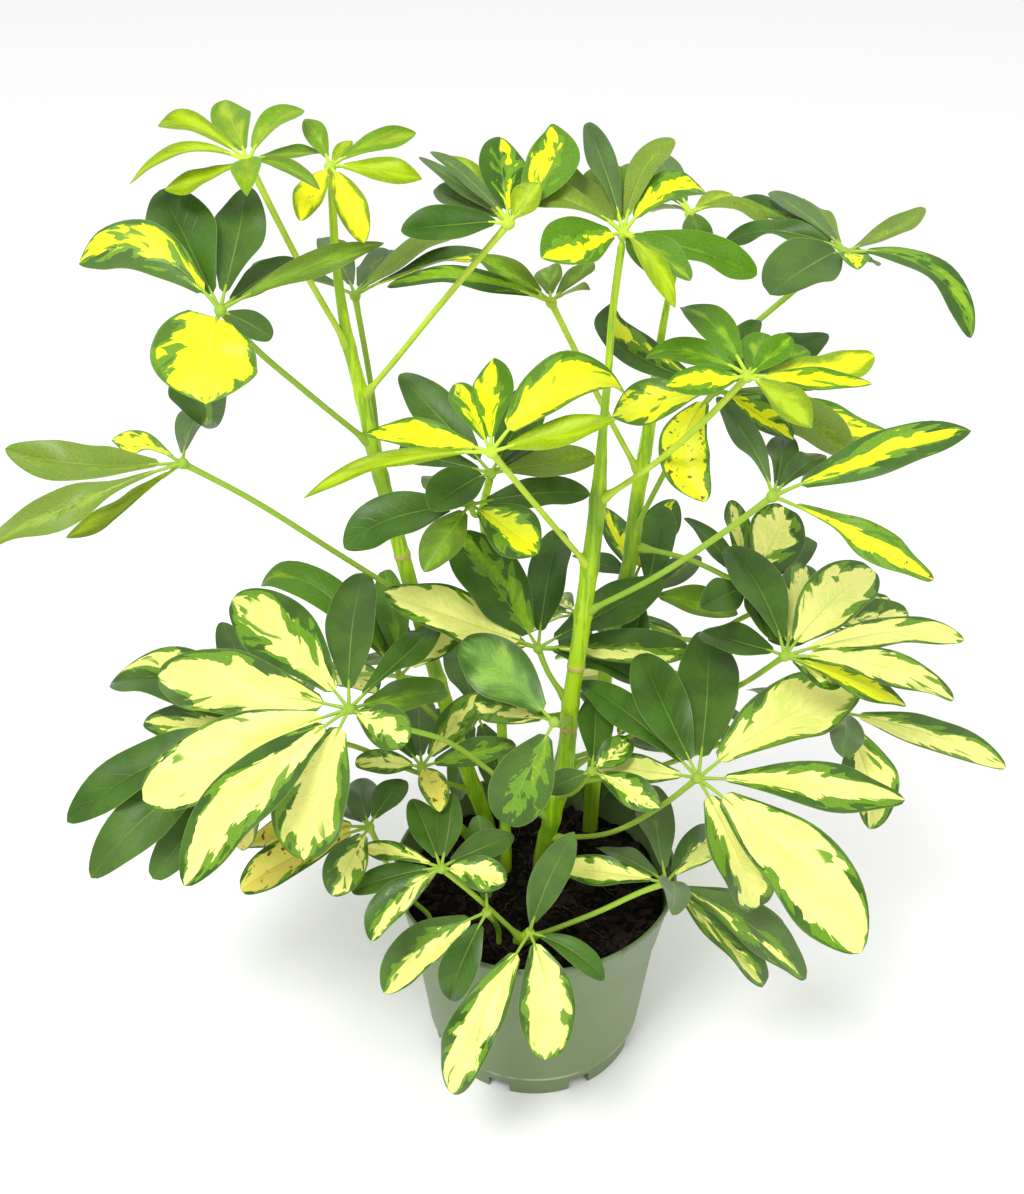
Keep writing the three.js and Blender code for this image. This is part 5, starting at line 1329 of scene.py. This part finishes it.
def make_leaf(name, order, settings, finishes):
    dice = np.random.default_rng(100 + order)
    points, hub, leaflets, petiole = read_leaf(name)
    young, stem = name in YOUNG_NODES, LEAVES[name][0]
    form, paths = Form(), []
    for number, (tip, rings) in enumerate(leaflets):
        look = look_of(name, points[tip], number + order)
        row = add_blade(form, hub, points[tip], turned_up(points, rings), points, look, dice, settings)
        paths.append((row, STALK * np.linspace(1, STALK_ENDS, len(row))))
    if isinstance(stem, str):
        *path, heading = tip_path(stem, hub)
        paths.append(path)
    elif petiole is None:
        heading = open_heading(points, hub, leaflets)
    else:
        heading = unit(petiole[-1] - petiole[-2])
        paths.append(petiole_path(petiole))
    skin, faces, share = stalks(paths, PETIOLE_SIDES, finishes[1])
    green = np.array(settings.stalk_young if young else settings.stalk_old)
    colours = {"body": [*green, 1], "heart": [*np.minimum(1, green * HEART_BRIGHTER), 1]}
    form.add(skin, faces, 1, place=np.stack([share, share * 0, share * 0], 1), **colours)
    add_knob(form, hub, heading, settings.hub_radius, **colours)
    leaf = form.piece(name.capitalize(), finishes)
    ride_and_replace(leaf, "leaf_young" if young else "leaf_variegated", name)


YOUNG_SHINE = 0.14
OLD_SHINE = 0.3


def make_leaves(settings, young, finishes):
    for order, name in enumerate(LEAVES):
        if (name in YOUNG_NODES) == young:
            make_leaf(name, order, settings, finishes)
    return {"FINISHED"}


class PLANT_OT_young_leaves(bpy.types.Operator):
    """Make the lime green leaves of the crown"""
    bl_idname = "plant.young_leaves"
    bl_label = "Young leaves"

    def execute(self, context):
        finishes = [blade_finish("Young blade", YOUNG_SHINE), stalk_finish("Young stalk")]
        return make_leaves(context.scene.plant_foliage, True, finishes)


class PLANT_OT_variegated_leaves(bpy.types.Operator):
    """Make the older leaves, dark green with cream and yellow hearts"""
    bl_idname = "plant.variegated_leaves"
    bl_label = "Variegated leaves"

    def execute(self, context):
        finishes = [blade_finish("Variegated blade", OLD_SHINE), stalk_finish("Leaf stalk")]
        return make_leaves(context.scene.plant_foliage, False, finishes)


def area_light(name, power, size, place, target):
    light = bpy.data.lights.new(name, "AREA")
    light.shape, light.size, light.energy = "DISK", size, power
    lamp = bpy.data.objects.new(name, light)
    lamp.matrix_world = (Matrix.Translation(place)
                         @ (Vector(target) - Vector(place)).to_track_quat("-Z", "Y").to_matrix().to_4x4())
    bpy.context.scene.collection.objects.link(lamp)


# Where the lights point, where they stand, how wide they are, and the second one's share of the power
MIDDLE = (0, 0, 0.25)
KEY_AT, KEY_SIZE = (-0.7, -1.2, 2.3), 0.9
FILL_AT, FILL_SIZE, FILL_SHARE = (1.7, -0.9, 1.5), 2.0, 0.2
FLOOR_GLOW = 0.05
SENSOR = 36


class PLANT_OT_stage(bpy.types.Operator):
    """Make the pale floor, the soft light and the camera"""
    bl_idname = "plant.stage"
    bl_label = "Stage"

    def execute(self, context):
        scene, s = context.scene, context.scene.plant_stage
        bm = bmesh.new()
        bmesh.ops.create_grid(bm, x_segments=2, y_segments=2, size=40)
        floor = object_of(bm, "Floor")
        floor.data.materials.append(Finish("Floor white").finish(
            Base_Color=s.floor, Roughness=0.9, Emission_Color=s.floor, Emission_Strength=FLOOR_GLOW))
        area_light("Key", s.key, KEY_SIZE, KEY_AT, MIDDLE)
        area_light("Fill", s.key * FILL_SHARE, FILL_SIZE, FILL_AT, MIDDLE)
        world = bpy.data.worlds.new("Studio")
        world.use_nodes = True
        tree = world.node_tree
        sky = tree.nodes["Background"]
        way, high, strength = new_nodes(
            tree, "ShaderNodeTexCoord", "ShaderNodeSeparateXYZ", "ShaderNodeMapRange")
        wire(tree, (way, "Generated", high, 0), (high, "Z", strength, "Value"),
             (strength, 0, sky, "Strength"))
        strength.inputs["To Min"].default_value = s.horizon
        strength.inputs["To Max"].default_value = s.sky
        sky.inputs["Color"].default_value = (1, 1, 1, 1)
        scene.world = world
        scene.view_settings.view_transform = "Standard"
        lens = bpy.data.cameras.new("Camera")
        lens.sensor_fit, lens.sensor_height = "VERTICAL", SENSOR
        lens.lens = SENSOR * FOCAL / PHOTO_HIGH
        lens.clip_start, lens.clip_end = 0.01, 60
        camera = bpy.data.objects.new("Camera", lens)
        camera.location = CAMERA_AT
        camera.rotation_euler = (math.pi / 2 - LOOKS_DOWN, 0, LOOKS_LEFT)
        scene.collection.objects.link(camera)
        scene.camera = camera
        return {"FINISHED"}


class PLANT_PT_panel(bpy.types.Panel):
    bl_label = "Umbrella plant"
    bl_idname = "PLANT_PT_panel"
    bl_space_type = "VIEW_3D"
    bl_region_type = "UI"
    bl_category = "Plant"

    def draw(self, context):
        for group, operators in SECTIONS:
            box = self.layout.box()
            settings = getattr(context.scene, group)
            for field in settings.__annotations__:
                box.prop(settings, field)
            for operator in operators:
                box.operator(operator.bl_idname)


GROUPS = (("plant_pot", PotSettings), ("plant_soil", SoilSettings), ("plant_stems", StemSettings),
          ("plant_foliage", FoliageSettings), ("plant_stage", StageSettings))
SECTIONS = (("plant_pot", (PLANT_OT_pot,)), ("plant_soil", (PLANT_OT_soil,)),
            ("plant_stems", (PLANT_OT_stems,)),
            ("plant_foliage", (PLANT_OT_young_leaves, PLANT_OT_variegated_leaves)),
            ("plant_stage", (PLANT_OT_stage,)))
OPERATORS = [operator for _, operators in SECTIONS for operator in operators]


def register():
    for kind in [kind for _, kind in GROUPS] + OPERATORS + [PLANT_PT_panel]:
        bpy.utils.register_class(kind)
    for name, kind in GROUPS:
        setattr(bpy.types.Scene, name, PointerProperty(type=kind))


def unregister():
    for name, _ in GROUPS:
        delattr(bpy.types.Scene, name)
    for kind in [PLANT_PT_panel] + OPERATORS[::-1] + [kind for _, kind in GROUPS]:
        bpy.utils.unregister_class(kind)


def main():
    register()
    for operator in OPERATORS:
        area, call = operator.bl_idname.split(".")
        if getattr(getattr(bpy.ops, area), call)() != {"FINISHED"}:
            raise RuntimeError(f"{operator.bl_label} wasn't made")


if __name__ == "__main__":
    main()
